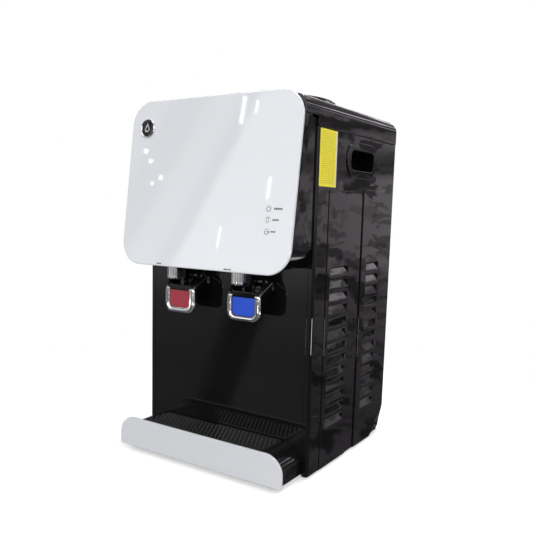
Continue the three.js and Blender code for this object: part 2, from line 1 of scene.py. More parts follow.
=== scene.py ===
"""Looks of a countertop water dispenser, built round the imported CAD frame.

Lengths in this script are millimetres. Width runs along x, height along z, and y is measured
from the front plane of the cabinet towards the back. at() turns such a place into the frame's
metres.
"""
import math

import bmesh
import bpy
from mathutils import Matrix, Vector


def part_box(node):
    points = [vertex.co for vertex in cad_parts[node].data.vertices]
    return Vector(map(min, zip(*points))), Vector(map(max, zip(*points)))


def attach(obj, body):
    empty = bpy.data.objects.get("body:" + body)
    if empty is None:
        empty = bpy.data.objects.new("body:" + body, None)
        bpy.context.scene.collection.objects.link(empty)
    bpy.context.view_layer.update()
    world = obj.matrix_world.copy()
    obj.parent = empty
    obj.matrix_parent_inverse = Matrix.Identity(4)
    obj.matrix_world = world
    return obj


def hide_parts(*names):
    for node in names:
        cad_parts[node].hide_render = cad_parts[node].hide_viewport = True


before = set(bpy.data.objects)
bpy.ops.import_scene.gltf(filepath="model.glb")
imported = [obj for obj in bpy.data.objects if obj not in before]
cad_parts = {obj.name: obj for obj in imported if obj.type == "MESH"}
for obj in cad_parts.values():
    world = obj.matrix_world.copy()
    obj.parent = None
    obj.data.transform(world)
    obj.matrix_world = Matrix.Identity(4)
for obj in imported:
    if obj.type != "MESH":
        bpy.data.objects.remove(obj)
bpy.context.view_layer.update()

MM = 0.001
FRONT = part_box("front_panel")[0].y
TAU = 2 * math.pi


def at(x, y, z):
    return Vector((x * MM, y * MM + FRONT, z * MM))


def extent(node):
    """(x0, x1), (y0, y1), (z0, z1) of a CAD node, in this script's millimetres."""
    low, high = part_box(node)
    spans = [(low[axis] / MM, high[axis] / MM) for axis in range(3)]
    spans[1] = ((low.y - FRONT) / MM, (high.y - FRONT) / MM)
    return spans


# ------------------------------------------------------------------ camera

CAMERA_AT = (0.5652, -0.8656, 0.3808)
CAMERA_TURN = (33.25, 7.62, 1.50)  # degrees to the left, down and rolled
FOCAL = 43.03
SENSOR_WIDTH = 36
SHIFT = (0.0109, 0.0541)


def make_camera():
    yaw, pitch, roll = (math.radians(angle) for angle in CAMERA_TURN)
    flat = math.cos(pitch)
    forward = Vector((-math.sin(yaw) * flat, math.cos(yaw) * flat, -math.sin(pitch)))
    right = forward.cross(Vector((0, 0, 1))).normalized()
    up = right.cross(forward)
    rolled_right = right * math.cos(roll) + up * math.sin(roll)
    rolled_up = up * math.cos(roll) - right * math.sin(roll)
    camera = bpy.data.objects.new("camera", bpy.data.cameras.new("camera"))
    bpy.context.scene.collection.objects.link(camera)
    turn = Matrix((rolled_right, rolled_up, -forward)).transposed().to_4x4()
    camera.matrix_world = Matrix.Translation(CAMERA_AT) @ turn
    camera.data.lens = FOCAL
    camera.data.sensor_width = SENSOR_WIDTH
    camera.data.shift_x, camera.data.shift_y = SHIFT
    camera.data.clip_start = 0.05
    bpy.context.scene.camera = camera


# ------------------------------------------------------------------ outlines

def about(middle, reach):
    """The span that reaches equally far to both sides of a place."""
    return middle - reach, middle + reach


def widened(span, margin):
    """A span let out by a margin at both ends, or drawn in by a negative one."""
    return span[0] - margin, span[1] + margin


def arc(u, v, radius, start, end, steps=8):
    """Points on an arc, in degrees."""
    angles = [math.radians(start + (end - start) * i / steps) for i in range(steps + 1)]
    return [(u + radius * math.cos(a), v + radius * math.sin(a)) for a in angles]


def rounded(u_span, v_span, radii, steps=8):
    """A rectangle with its own radius at each corner, anticlockwise from the lower left."""
    (u0, u1), (v0, v1) = u_span, v_span
    if not isinstance(radii, (list, tuple)):
        radii = [radii] * 4
    a, b, c, d = radii
    corners = [
        (u0 + a, v0 + a, a, 180), (u1 - b, v0 + b, b, 270),
        (u1 - c, v1 - c, c, 0), (u0 + d, v1 - d, d, 90)]
    points = []
    for u, v, radius, start in corners:
        points += arc(u, v, radius, start, start + 90, steps) if radius > 0 else [(u, v)]
    return points


def circle(u, v, radius, steps=32):
    return arc(u, v, radius, 0, 360 - 360 / steps, steps - 1)


# ------------------------------------------------------------------ meshes

# How an outline's (u, v) and depth w stand in space, along each axis.
STAND = {
    "x": lambda u, v, w: at(w, u, v),
    "y": lambda u, v, w: at(u, w, v),
    "z": lambda u, v, w: at(u, v, w),
}


def mesh_from(vertices, faces):
    mesh = bpy.data.meshes.new("made")
    mesh.from_pydata([tuple(v) for v in vertices], [], faces)
    return tidy(mesh)


def tidy(mesh):
    """Merges doubled vertices and turns the faces outwards."""
    work = bmesh.new()
    work.from_mesh(mesh)
    bmesh.ops.remove_doubles(work, verts=work.verts, dist=1e-6)
    bmesh.ops.dissolve_degenerate(work, edges=work.edges, dist=1e-7)
    bmesh.ops.recalc_face_normals(work, faces=work.faces)
    work.to_mesh(mesh)
    work.free()
    return mesh


def evaluated(obj):
    """The mesh that an object's modifiers or curve give; the object itself is dropped."""
    bpy.context.view_layer.update()
    graph = bpy.context.evaluated_depsgraph_get()
    mesh = bpy.data.meshes.new_from_object(obj.evaluated_get(graph))
    bpy.data.objects.remove(obj)
    return mesh


def scratch(data):
    obj = bpy.data.objects.new("scratch", data)
    bpy.context.scene.collection.objects.link(obj)
    return obj


def slab(outline, holes, axis, ends, edge=0.6, rounds=2):
    """A plate cut to an outline with holes, between two depths, with every rim rounded."""
    curve = bpy.data.curves.new("slab", "CURVE")
    curve.dimensions = "2D"
    curve.fill_mode = "BOTH"
    thickness = ends[1] - ends[0]
    curve.extrude = (thickness / 2 - edge) * MM
    curve.bevel_depth = edge * MM
    curve.bevel_resolution = rounds
    curve.offset = -edge * MM
    for points in [outline, *holes]:
        spline = curve.splines.new("POLY")
        spline.points.add(len(points) - 1)
        for target, (u, v) in zip(spline.points, points):
            target.co = (u * MM, v * MM, 0, 1)
        spline.use_cyclic_u = True
    mesh = evaluated(scratch(curve))
    middle = (ends[0] + ends[1]) / 2
    for vertex in mesh.vertices:
        u, v, w = (value / MM for value in vertex.co)
        vertex.co = STAND[axis](u, v, middle + w)
    return tidy(mesh)


def skin(rings):
    """A surface through rings of equally many points, closed by a face at each end."""
    count = len(rings[0])
    vertices = [point for ring in rings for point in ring]
    faces = []
    for row in range(len(rings) - 1):
        for i in range(count):
            j = (i + 1) % count
            low, high = row * count, (row + 1) * count
            faces.append((low + i, low + j, high + j, high + i))
    faces.append(tuple(range(count)))
    faces.append(tuple(range(len(vertices) - 1, len(vertices) - count - 1, -1)))
    return mesh_from(vertices, faces)


def lathe(profile, centre, axis="z", steps=64):
    """A solid of revolution from [radius, height] pairs that close on themselves or start and
    end on the axis."""
    rings = []
    for i in range(steps):
        a = TAU * i / steps
        ring = []
        for radius, height in profile:
            u, v = radius * math.cos(a), radius * math.sin(a)
            local = {"x": (height, u, v), "y": (u, height, v), "z": (u, v, height)}[axis]
            ring.append(at(*(c + p for c, p in zip(centre, local))))
        rings.append(ring)
    count = len(profile)
    vertices = [point for ring in rings for point in ring]
    faces = []
    for i in range(steps):
        j = (i + 1) % steps
        for k in range(count - 1):
            faces.append((i * count + k, j * count + k, j * count + k + 1, i * count + k + 1))
    return mesh_from(vertices, faces)


def block(x, y, z, edge=0.8, rounds=2):
    """A box with rounded edges."""
    work = bmesh.new()
    bmesh.ops.create_cube(work, size=1)
    for vertex in work.verts:
        pick = [span[int(value > 0)] for span, value in zip((x, y, z), vertex.co)]
        vertex.co = at(*pick)
    if edge:
        bmesh.ops.bevel(
            work, geom=work.edges[:], offset=edge * MM, segments=rounds, profile=0.5, affect="EDGES")
    mesh = bpy.data.meshes.new("block")
    work.to_mesh(mesh)
    work.free()
    return tidy(mesh)


def tube(points, radius, closed=False, rounds=3):
    """A round wire along a list of places."""
    curve = bpy.data.curves.new("tube", "CURVE")
    curve.dimensions = "3D"
    curve.bevel_depth = radius * MM
    curve.bevel_resolution = rounds
    curve.use_fill_caps = not closed
    spline = curve.splines.new("POLY")
    spline.points.add(len(points) - 1)
    for target, point in zip(spline.points, points):
        target.co = (*at(*point), 1)
    spline.use_cyclic_u = closed
    return tidy(evaluated(scratch(curve)))


def merge(*meshes):
    work = bmesh.new()
    for mesh in meshes:
        work.from_mesh(mesh)
        bpy.data.meshes.remove(mesh)
    merged = bpy.data.meshes.new("merged")
    work.to_mesh(merged)
    work.free()
    return merged


def cut(mesh, *tools):
    """A mesh with other meshes cut out of it."""
    body = scratch(mesh)
    helpers = []
    for tool in tools:
        helper = scratch(tool)
        helpers.append(helper)
        modifier = body.modifiers.new("cut", "BOOLEAN")
        modifier.object = helper
        modifier.operation = "DIFFERENCE"
        modifier.solver = "EXACT"
    result = evaluated(body)
    for helper in helpers:
        bpy.data.objects.remove(helper)
    return tidy(result)


def turned_to(place, angle, axis):
    """Carries a mesh that was made about (0, 0, 0) to a place, turned about an axis."""
    turn = Matrix.Rotation(angle, 4, axis)
    return Matrix.Translation(at(*place)) @ turn @ Matrix.Translation(-at(0, 0, 0))


def moved(mesh, matrix):
    mesh.transform(matrix)
    if matrix.is_negative:
        mesh.flip_normals()
    return mesh


def piece(name, mesh, body, material, replaces=None, sharp=35):
    """Puts a mesh into the scene as a named piece that rides on a body, in place of a CAD node if
    one is named."""
    mesh.name = name
    obj = bpy.data.objects.new(name, mesh)
    bpy.context.scene.collection.objects.link(obj)
    mesh.materials.clear()
    mesh.materials.append(material)
    mesh.shade_smooth()
    mesh.set_sharp_from_angle(angle=math.radians(sharp))
    weighted = obj.modifiers.new("weighted", "WEIGHTED_NORMAL")
    weighted.keep_sharp = True
    weighted.weight = 60
    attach(obj, body)
    if replaces:
        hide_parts(replaces)


# ------------------------------------------------------------------ materials

class Nodes:
    """A node tree under construction; every node is placed by add()."""

    def __init__(self, tree):
        self.nodes, self.links = tree.nodes, tree.links

    def add(self, kind, inputs=None, **settings):
        node = self.nodes.new(kind)
        for key, value in settings.items():
            setattr(node, key, value)
        for key, value in (inputs or {}).items():
            if isinstance(value, bpy.types.NodeSocket):
                self.links.new(value, node.inputs[key])
            else:
                node.inputs[key].default_value = value
        return node

    def maths(self, operation, a, b=0.0):
        return self.add("ShaderNodeMath", {0: a, 1: b}, operation=operation).outputs[0]


class Shader(Nodes):
    """A Principled material under construction."""

    def __init__(self, name, slot):
        self.material = bpy.data.materials.new(name)
        self.material.use_nodes = True
        self.material["slot"] = slot
        super().__init__(self.material.node_tree)
        self.bsdf = self.nodes["Principled BSDF"]
        self.place = self.nodes.new("ShaderNodeTexCoord").outputs["Object"]

    def set(self, **values):
        for key, value in values.items():
            self.bsdf.inputs[key.replace("_", " ")].default_value = value
        return self

    def noise(self, scale, detail=3, roughness=0.5, stretch=(1, 1, 1)):
        vector = self.place
        if stretch != (1, 1, 1):
            vector = self.add("ShaderNodeMapping", {"Vector": vector, "Scale": stretch}).outputs[0]
        node = self.add("ShaderNodeTexNoise", {
            "Vector": vector, "Scale": scale, "Detail": detail, "Roughness": roughness})
        return node.outputs["Fac"]

    def cells(self, scale):
        node = self.add("ShaderNodeTexVoronoi", {"Vector": self.place, "Scale": scale})
        return node.outputs["Distance"]

    def ramp(self, value, low, high, out_low=0.0, out_high=1.0):
        node = self.add("ShaderNodeMapRange", {
            "Value": value, "From Min": low, "From Max": high, "To Min": out_low, "To Max": out_high})
        return node.outputs["Result"]

    def mix(self, factor, a, b):
        """A colour between two colours."""
        node = self.add("ShaderNodeMix", {"Factor": factor}, data_type="RGBA")
        for socket, value in ((6, a), (7, b)):
            if isinstance(value, bpy.types.NodeSocket):
                self.links.new(value, node.inputs[socket])
            else:
                node.inputs[socket].default_value = (*value, 1)
        return node.outputs[2]

    def colour(self, value):
        self.links.new(value, self.bsdf.inputs["Base Color"])
        return self

    def roughness(self, value):
        self.links.new(value, self.bsdf.inputs["Roughness"])
        return self

    def bump(self, height, strength, distance):
        """Adds a relief, in metres, on top of the reliefs already there."""
        before = self.bsdf.inputs["Normal"].links
        inputs = {"Height": height, "Strength": strength, "Distance": distance}
        if before:
            inputs["Normal"] = before[0].from_socket
        node = self.add("ShaderNodeBump", inputs)
        self.links.new(node.outputs["Normal"], self.bsdf.inputs["Normal"])
        return self


def toned(tint, factor, lift=0.0):
    """A colour made lighter or darker."""
    return tuple(value * factor + lift for value in tint)


def gloss_plastic(name, slot, tint, wave=0.25, shine=(0.02, 0.05)):
    """Injection-moulded gloss: a slight flow waviness, faint haze and hairline marks."""
    shader = Shader(name, slot).set(IOR=1.52, Specular_IOR_Level=0.5)
    haze = shader.noise(9, 4, 0.6)
    dust = shader.ramp(shader.noise(900, 2), 0.66, 0.74)
    light = toned(tint, 1.25, 0.003)
    shader.colour(shader.mix(shader.maths("MULTIPLY", haze, 0.6), tint, light))
    base = shader.ramp(haze, 0.3, 0.75, *shine)
    shader.roughness(shader.maths("ADD", base, shader.maths("MULTIPLY", dust, 0.05)))
    shader.bump(shader.noise(16, 2, 0.4), wave, 0.0009)
    shader.bump(shader.noise(170, 1), 0.12, 0.00004)
    return shader.material


def satin_plastic(name, slot, tint, rough=(0.34, 0.5)):
    """Moulded plastic with a fine spark-eroded grain."""
    shader = Shader(name, slot).set(IOR=1.5)
    patch = shader.noise(14, 4, 0.6)
    light = toned(tint, 1.5, 0.004)
    shader.colour(shader.mix(patch, tint, light))
    shader.roughness(shader.ramp(patch, 0.3, 0.7, *rough))
    shader.bump(shader.cells(1700.0), 0.35, 0.00006)
    shader.bump(shader.noise(26, 2), 0.2, 0.0003)
    return shader.material


def pearl_white(name, slot, tint, rough, wave, coat=0.6):
    """White panel plastic: nearly flat gloss with very soft tone drifts."""
    shader = Shader(name, slot).set(IOR=1.5, Coat_Weight=coat, Coat_Roughness=0.01)
    drift = shader.noise(2.5, 2, 0.5, (1, 1, 0.5))
    shade = toned(tint, 0.96)
    shader.colour(shader.mix(drift, shade, tint))
    shader.roughness(shader.ramp(shader.noise(18, 2, 0.5), 0.3, 0.7, *rough))
    shader.bump(shader.noise(11, 2, 0.4), wave, 0.0006)
    shader.bump(shader.noise(500, 2), 0.06, 0.00002)
    return shader.material


def plated(name, slot, tint, rough=(0.05, 0.14), wave=0.3):
    """Plated or polished metal over moulded plastic."""
    shader = Shader(name, slot).set(Metallic=1.0)
    cloud = shader.noise(70, 4, 0.6)
    shade = toned(tint, 0.86)
    shader.colour(shader.mix(cloud, tint, shade))
    shader.roughness(shader.ramp(cloud, 0.3, 0.7, *rough))
    shader.bump(shader.noise(45, 2), wave, 0.0006)
    return shader.material


def brushed(name, slot, tint, stretch=(1, 1, 60)):
    """Metal with drawn lines running across the stretched axis."""
    shader = Shader(name, slot).set(Metallic=1.0)
    lines = shader.noise(28, 5, 0.7, stretch)
    patch = shader.noise(18, 3)
    shade = toned(tint, 0.6)
    shader.colour(shader.mix(shader.maths("MULTIPLY", lines, patch), tint, shade))
    shader.roughness(shader.ramp(lines, 0.3, 0.7, 0.26, 0.48))
    shader.bump(lines, 0.25, 0.0002)
    return shader.material


def painted_steel(name, slot, tint):
    """Stove-painted steel with orange peel."""
    shader = Shader(name, slot).set(IOR=1.5)
    patch = shader.noise(20, 4, 0.6)
    light = toned(tint, 1.7, 0.005)
    shader.colour(shader.mix(patch, tint, light))
    shader.roughness(shader.ramp(patch, 0.3, 0.7, 0.24, 0.4))
    shader.bump(shader.noise(620, 2), 0.4, 0.00012)
    return shader.material


def rubber_like(name, slot, tint, rough=(0.6, 0.85)):
    shader = Shader(name, slot).set(IOR=1.45)
    patch = shader.noise(40, 4, 0.65)
    light = toned(tint, 1.5, 0.006)
    shader.colour(shader.mix(patch, tint, light))
    shader.roughness(shader.ramp(patch, 0.3, 0.7, *rough))
    shader.bump(shader.noise(900, 3), 0.5, 0.0001)
    return shader.material


def painted_shade(name, slot, level):
    """Near-black, matt and barely reflective: painted shade for the inside of a closed pocket."""
    shader = Shader(name, slot).set(Roughness=0.9, Specular_IOR_Level=0.05)
    patch = shader.noise(40, 2)
    shader.colour(shader.mix(patch, (level, level, level), (level * 2, level * 2, level * 2)))
    return shader.material


def beaded_foam(name, slot, tint):
    shader = Shader(name, slot).set(IOR=1.4, Roughness=0.9)
    cells = shader.cells(260.0)
    shader.colour(shader.mix(shader.ramp(cells, 0.1, 0.7), tint, toned(tint, 0.78)))
    shader.bump(cells, 0.7, 0.0008)
    return shader.material


def circuit_board(name, slot, tint):
    shader = Shader(name, slot).set(IOR=1.5, Roughness=0.35)
    tracks = shader.add("ShaderNodeTexBrick", {
        "Vector": shader.place, "Scale": 90.0, "Mortar Size": 0.03,
        "Color1": (*tint, 1), "Color2": (*toned(tint, 1.3), 1),
        "Mortar": (0.45, 0.3, 0.1, 1)})
    shader.colour(tracks.outputs["Color"])
    shader.bump(tracks.outputs["Fac"], 0.3, 0.0001)
    return shader.material


LABEL_LINES = 27.0  # lines of plain dashes on the label
LABEL_WORDS = 26.0  # how finely a line is broken into dashes


def sticker(name, slot, low, high):
    """A yellow paper label with rows of plain dashes and a pale border, from its lowest and
    highest corner in (y, z)."""
    shader = Shader(name, slot).set(IOR=1.45, Roughness=0.38)
    split = shader.add("ShaderNodeSeparateXYZ", {"Vector": shader.place})
    along = shader.ramp(split.outputs["Y"], low.y, high.y)
    upward = shader.ramp(split.outputs["Z"], low.z, high.z)
    line = shader.maths("MULTIPLY", upward, LABEL_LINES)
    in_row = shader.maths("GREATER_THAN", shader.maths("FRACT", line), 0.56)
    cell = shader.add("ShaderNodeCombineXYZ", {
        "X": shader.maths("MULTIPLY", along, LABEL_WORDS), "Y": shader.maths("FLOOR", line)})
    words = shader.add("ShaderNodeTexNoise", {"Vector": cell.outputs[0], "Scale": 1.0, "Detail": 1.0})
    ink = shader.maths("MULTIPLY", in_row, shader.ramp(words.outputs["Fac"], 0.44, 0.5))
    inside, tall = (
        shader.maths("LESS_THAN", shader.maths("ABSOLUTE", shader.maths("SUBTRACT", place, middle)), reach)
        for place, middle, reach in ((along, 0.48, 0.4), (upward, 0.5, 0.46)))
    ink = shader.maths("MULTIPLY", ink, shader.maths("MULTIPLY", inside, tall))
    paper = shader.mix(shader.noise(60, 3), (0.95, 0.80, 0.035), (0.97, 0.88, 0.055))
    rim = shader.maths("GREATER_THAN", along, 0.93)
    paper = shader.mix(rim, paper, (0.8, 0.8, 0.74))
    shader.colour(shader.mix(shader.maths("MULTIPLY", ink, 0.5), paper, (0.3, 0.28, 0.03)))
    shader.bump(shader.noise(700, 2), 0.2, 0.00004)
    return shader.material


BLACK = (0.0028, 0.0026, 0.003)
MILKY = (0.66, 0.674, 0.698)
M = {
    "black": gloss_plastic("black_gloss_plastic", "black_gloss", BLACK),
    "side": gloss_plastic("black_gloss_side", "black_gloss", BLACK, 0.1, (0.008, 0.02)),
    "wall": gloss_plastic("black_gloss_wall", "black_gloss", BLACK, 0.2, (0.012, 0.035)),
    "satin": satin_plastic("black_satin_plastic", "black_satin", (0.012, 0.012, 0.013)),
    "plate": pearl_white("white_gloss_plate", "white_gloss", MILKY, (0.025, 0.04), 0.05),
    "fascia": pearl_white("white_gloss_fascia", "white_gloss", (0.49, 0.50, 0.52), (0.16, 0.18), 0.03, 0.2),
    "chrome": plated("chrome_plate", "chrome", (0.95, 0.955, 0.965)),
    "steel": brushed("drawn_steel", "steel", (0.6, 0.61, 0.62)),
    "black_steel": painted_steel("black_painted_steel", "black_steel", (0.012, 0.012, 0.013)),
    "rubber": rubber_like("foot_rubber", "rubber", (0.018, 0.018, 0.018)),
    "red": satin_plastic("red_insert", "red_plastic", (0.225, 0.016, 0.028), (0.36, 0.46)),
    "blue": satin_plastic("blue_insert", "blue_plastic", (0.001, 0.045, 0.41), (0.36, 0.46)),
    "foam": beaded_foam("tank_foam", "foam", (0.85, 0.84, 0.78)),
    "copper": brushed("drawn_copper", "copper", (0.72, 0.38, 0.22), (1, 1, 4)),
    "board": circuit_board("green_board", "board", (0.02, 0.16, 0.06)),
    "silicone": rubber_like("milky_silicone", "silicone", (0.62, 0.64, 0.64), (0.4, 0.55)),
    "lens": pearl_white("lens_plastic", "lens", MILKY, (0.025, 0.04), 0.05),
    "white": satin_plastic("white_plastic", "white_plastic", (0.62, 0.62, 0.6), (0.3, 0.42)),
    "ink": satin_plastic("printed_ink", "black_satin", (0.012, 0.012, 0.014), (0.5, 0.6)),
    # painted shade: the grip pocket's inside gets a matt near-black instead of the side panels' gloss black
    "dark": painted_shade("painted_shade_interior", "black_satin", 0.0012),
}

MIRROR = Matrix.Scale(-1, 4, (1, 0, 0))


# ------------------------------------------------------------------ side panels

HALF = extent("right_side_panel")[0][1]
DEPTH = extent("right_side_panel")[1][1]
BASE, SEAM = extent("right_side_panel")[2]
SHEET = 3
BACKING = HALF - 0.9  # face of the plain sheet between the raised fields
FIELD = HALF + 0.9  # face of the raised fields
GROOVE = 35.4
FIELDS = (((GROOVE, 120), 412), ((151, 238), 416))  # each field's stretch in depth, and its top
CORNER_CUT = (216, 45)  # lower rear corner: where the slope leaves the base, and its height
LOUVRE = {
    "rows": 13, "pitch": 18.9, "top": 301.7, "tall": 11.8, "deep": 4.6, "columns": [(46, 106), (170, 218)]}
GRIP = {"y": (100, 181), "z": (443, 472), "depth": 27}
LABEL = {"y": (3.6, 53.5), "z": (415, 492)}


def slope_height(y):
    """Height of the lower rear corner's slope over a place along the depth."""
    start, height = CORNER_CUT
    return BASE + (y - start) * (height - BASE) / (DEPTH - start)


def field_outline(span, top, inset=0.0):
    """A raised field, drawn in by inset; it runs down to the base or to the corner's slope."""
    low, high = span[0] + inset, span[1] - inset
    radius = 9 - inset
    foot = [(low, BASE), (high, BASE)]
    if high > CORNER_CUT[0]:
        foot = [(low, BASE), (CORNER_CUT[0], BASE), (high, slope_height(high))]
    shoulders = arc(high - radius, top - inset - radius, radius, 0, 90, 6)
    return [*foot, *shoulders, *arc(low + radius, top - inset - radius, radius, 90, 180, 6)]


def louvre_places(span):
    """The (depth, height) spans of the louvres that lie in a field."""
    for y0, y1 in LOUVRE["columns"]:
        for row in range(LOUVRE["rows"]):
            top = LOUVRE["top"] - row * LOUVRE["pitch"]
            if span[0] < y0 < span[1]:
                yield (y0, y1), (top - LOUVRE["tall"], top)


def flap_outline(y, z, inset):
    radii = [3.2 - inset, 3.2 - inset, 1.2 - inset, 1.2 - inset]
    return rounded(widened(y, -inset), widened(z, -inset), radii, 4)


def backing_sheet():
    outline = [
        (GROOVE - 1, BASE), (CORNER_CUT[0], BASE), (DEPTH, CORNER_CUT[1]), (DEPTH, SEAM), (GROOVE - 1, SEAM)]
    windows = [grip_outline(2)]
    for y, z in [place for span, _ in FIELDS for place in louvre_places(span)]:
        windows.append(flap_outline(y, z, -1.2))
    return slab(outline, windows, "x", (BACKING - 1.6, BACKING), 0.4, 2)


def raised_fields():
    sheets = []
    for span, top in FIELDS:
        holes = [flap_outline(y, z, 0) for y, z in louvre_places(span)]
        sheets.append(slab(field_outline(span, top), holes, "x", (BACKING - 1.2, FIELD), 0.75, 4))
    return merge(*sheets)


def flap(y, z):
    """A louvre: a tongue pressed inwards at its top, with a triangular wall at each end."""
    (y0, y1), (z0, z1) = y, z
    tongue = slab(flap_outline(y, z, 0.25), [], "x", (FIELD - 1.3, FIELD - 0.1), 0.4, 3)
    for vertex in tongue.vertices:
        vertex.co.x -= LOUVRE["deep"] * MM * (vertex.co.z / MM - z0) / (z1 - z0)
    ends = []
    for side in (y0 + 0.3, y1 - 1.1):
        corners = [(FIELD - 0.4, z0 + 1.6), (FIELD - 0.4, z1 - 0.4), (FIELD - LOUVRE["deep"] - 0.6, z1 - 0.4)]
        walls = [[at(x, side + width, height) for x, height in corners] for width in (0, 0.8)]
        ends.append(skin(walls))
    return merge(tongue, *ends)


def louvres():
    return merge(*[flap(y, z) for span, _ in FIELDS for y, z in louvre_places(span)])


def grip_outline(grow):
    """The hand hole, let out by grow."""
    front, rear = 10 + grow * 1.25, 9 + grow
    return rounded(widened(GRIP["y"], grow), widened(GRIP["z"], grow), [front, rear, rear, front], 8)


def grip_pocket():
    """A raised oval surround with a deep closed pocket behind its hole."""
    surround = slab(grip_outline(12), [grip_outline(0)], "x", (BACKING - 1.2, FIELD), 0.9, 4)
    levels = [(-0.5, -1.2), (0, -1.8), (-0.4, -8), (-1.6, 2 - GRIP["depth"]), (-4, -GRIP["depth"])]
    rings = [[at(FIELD + drop, u, v) for u, v in grip_outline(grow - 0.1)] for grow, drop in levels]
    outside = [[at(FIELD + drop, u, v) for u, v in grip_outline(grow + 1.2)] for grow, drop in levels]
    outside[-1] = [point - Vector((1.5 * MM, 0, 0)) for point in outside[-1]]
    return surround, skin([*rings[::-1], *outside])


def pillar():
    plan = [
        (HALF - 9, 0), *arc(HALF - 4, 4, 4, 270, 360, 6), (HALF, GROOVE - 1.6), (HALF - SHEET, GROOVE - 1.6),
        (HALF - SHEET, SHEET + 2), (HALF - SHEET - 2, SHEET), (HALF - 9, SHEET),
    ]
    post = slab(plan, [], "z", (BASE, SEAM), 0.4, 2)
    lower = slab(
        [(5.5, BASE + 1), (31, BASE + 1), (31, 86.5), (5.5, 92.5)], [], "x", (HALF - 1, HALF + 0.7), 0.6, 3)
    return merge(post, lower)


def corner_facet():
    """The lower rear corner, pressed inwards in one sloping triangle."""
    start, height = CORNER_CUT
    face = BACKING - 0.2
    outer = [at(face, start, BASE), at(face, DEPTH, height), at(face - 8, DEPTH, BASE)]
    inner = [point - Vector((2 * MM, 0, 0)) for point in outer]
    return skin([outer, inner])


def rear_flange():
    return block((HALF - 9, BACKING - 0.2), (DEPTH - 1.8, DEPTH - 0.1), (CORNER_CUT[1], SEAM - 0.4), 0.5)


def build_sides():
    for name, turn in (("right", Matrix.Identity(4)), ("left", MIRROR)):
        sheet = merge(backing_sheet(), pillar(), corner_facet(), rear_flange())
        piece(f"{name}_panel_sheet", moved(sheet, turn), "cabinet", M["side"], f"{name}_side_panel")
        piece(f"{name}_panel_fields", moved(raised_fields(), turn), "cabinet", M["side"])
        piece(f"{name}_panel_louvres", moved(louvres(), turn), "cabinet", M["side"], sharp=50)
        surround, pocket = grip_pocket()
        piece(f"{name}_grip_surround", moved(surround, turn), "cabinet", M["side"], sharp=50)
        # the pocket's inside carries painted shade, a matt near-black, not the side panels' gloss
        piece(f"{name}_grip_pocket", moved(pocket, turn), "cabinet", M["dark"], sharp=50)
    label = slab(rounded(LABEL["y"], LABEL["z"], 0.8, 2), [], "x", (BACKING - 0.1, HALF + 0.35), 0.1, 1)
    corners = [at(HALF, y, z) for y, z in zip(LABEL["y"], LABEL["z"])]
    piece("side_label", label, "cabinet", sticker("yellow_label", "white_plastic", *corners))


# ------------------------------------------------------------------ front housing and plate

PLATE = {"half": 149.5, "length": 243.9, "radius": 36, "thick": 4.5, "y": -67.8, "z": 296}
LEAN = math.radians(7.1)
HOUSE = {"half": 148.5, "low": 300, "high": 507, "radius": 36, "back": -16}
LENS = {"x": 110, "radius": 4.2, "heights": (("lens_power", 87.6), ("lens_cold", 73), ("lens_hot", 57.5))}
BADGE = {"x": -117.6, "z": 203, "radius": 14}
ON_PLATE = turned_to((0, PLATE["y"], PLATE["z"]), -LEAN, "X")


def behind_plate(z, gap):
    """Depth of the plane a given way behind the plate's face, at a height."""
    return PLATE["y"] + (z - PLATE["z"]) * math.tan(LEAN) + gap / math.cos(LEAN)


def housing_outline(inset):
    half = HOUSE["half"] - inset
    radius = HOUSE["radius"] - inset
    return rounded(about(0, half), widened((HOUSE["low"], HOUSE["high"]), -inset), [radius, radius, 1, 1], 10)


def build_housing():
    front = PLATE["thick"] + 0.3
    rings = []
    for inset, gap in ((3, 0), (1.2, 0.2), (0.3, 1.0), (0, 2.2)):
        rings.append([at(x, behind_plate(z, front + gap), z) for x, z in housing_outline(inset)])
    back = HOUSE["back"]
    for inset, y in ((0, back - 1.2), (0.35, back - 0.35), (1.2, back), (2.4, back + 0.1), (2.6, -0.3)):
        rings.append([at(x, y, z) for x, z in housing_outline(inset)])
    piece("housing_shell", skin(rings), "cabinet", M["black"], "front_housing", sharp=50)


def plate_piece(name, mesh, material, replaces=None):
    """A piece that is drawn upright and stands on the leaning plate."""
    piece(name, moved(mesh, ON_PLATE), "cabinet", material, replaces)


def build_plate():
    half = PLATE["half"]
    outline = rounded((-half, half), (0, PLATE["length"]), PLATE["radius"], 16)
    holes = [
        slab(circle(LENS["x"], z, LENS["radius"] + 0.12), [], "y", (-2, PLATE["thick"] + 2), 0)
        for _, z in LENS["heights"]]
    plate = cut(slab(outline, [], "y", (0, PLATE["thick"]), 1.7, 4), *holes)
    plate_piece("plate_moulding", plate, M["plate"], "front_plate")
    for name, z in LENS["heights"]:
        disc = slab(circle(LENS["x"], z, LENS["radius"]), [], "y", (0, PLATE["thick"] - 0.2), 0.08, 1)
        plate_piece(f"{name}_disc", disc, M["lens"], name)
    build_badge()
    build_marks()


def build_badge():
    x, z, radius = BADGE["x"], BADGE["z"], BADGE["radius"]
    ring = [
        (radius - 2.2, -0.2), (radius - 2.2, -1.2), (radius - 1.7, -1.9), (radius - 1.0, -2.2),
        (radius - 0.5, -1.9), (radius, -1.0), (radius, -0.2), (radius - 2.2, -0.2)]
    plate_piece("badge_chrome_ring", lathe(ring, (x, 0, z), "y"), M["chrome"], "badge_ring")
    dome = [(0, -1.7), (6, -1.6), (radius - 3, -1.35), (radius - 2.3, -1.1), (radius - 2.3, -0.3), (0, -0.3)]
    plate_piece("badge_black_dome", lathe(dome, (x, 0, z), "y"), M["black"], "badge_face")
    drop = [(x, z + 7.5), *arc(x, z - 1.5, 4.6, 30, -210, 14)]
    hollow = arc(x, z - 1.5, 2.6, 20, -200, 10)
    emblem = slab(drop, [[(x, z + 3.2), *hollow]], "y", (-1.95, -1.3), 0.15, 1)
    plate_piece("badge_drop", emblem, M["chrome"])


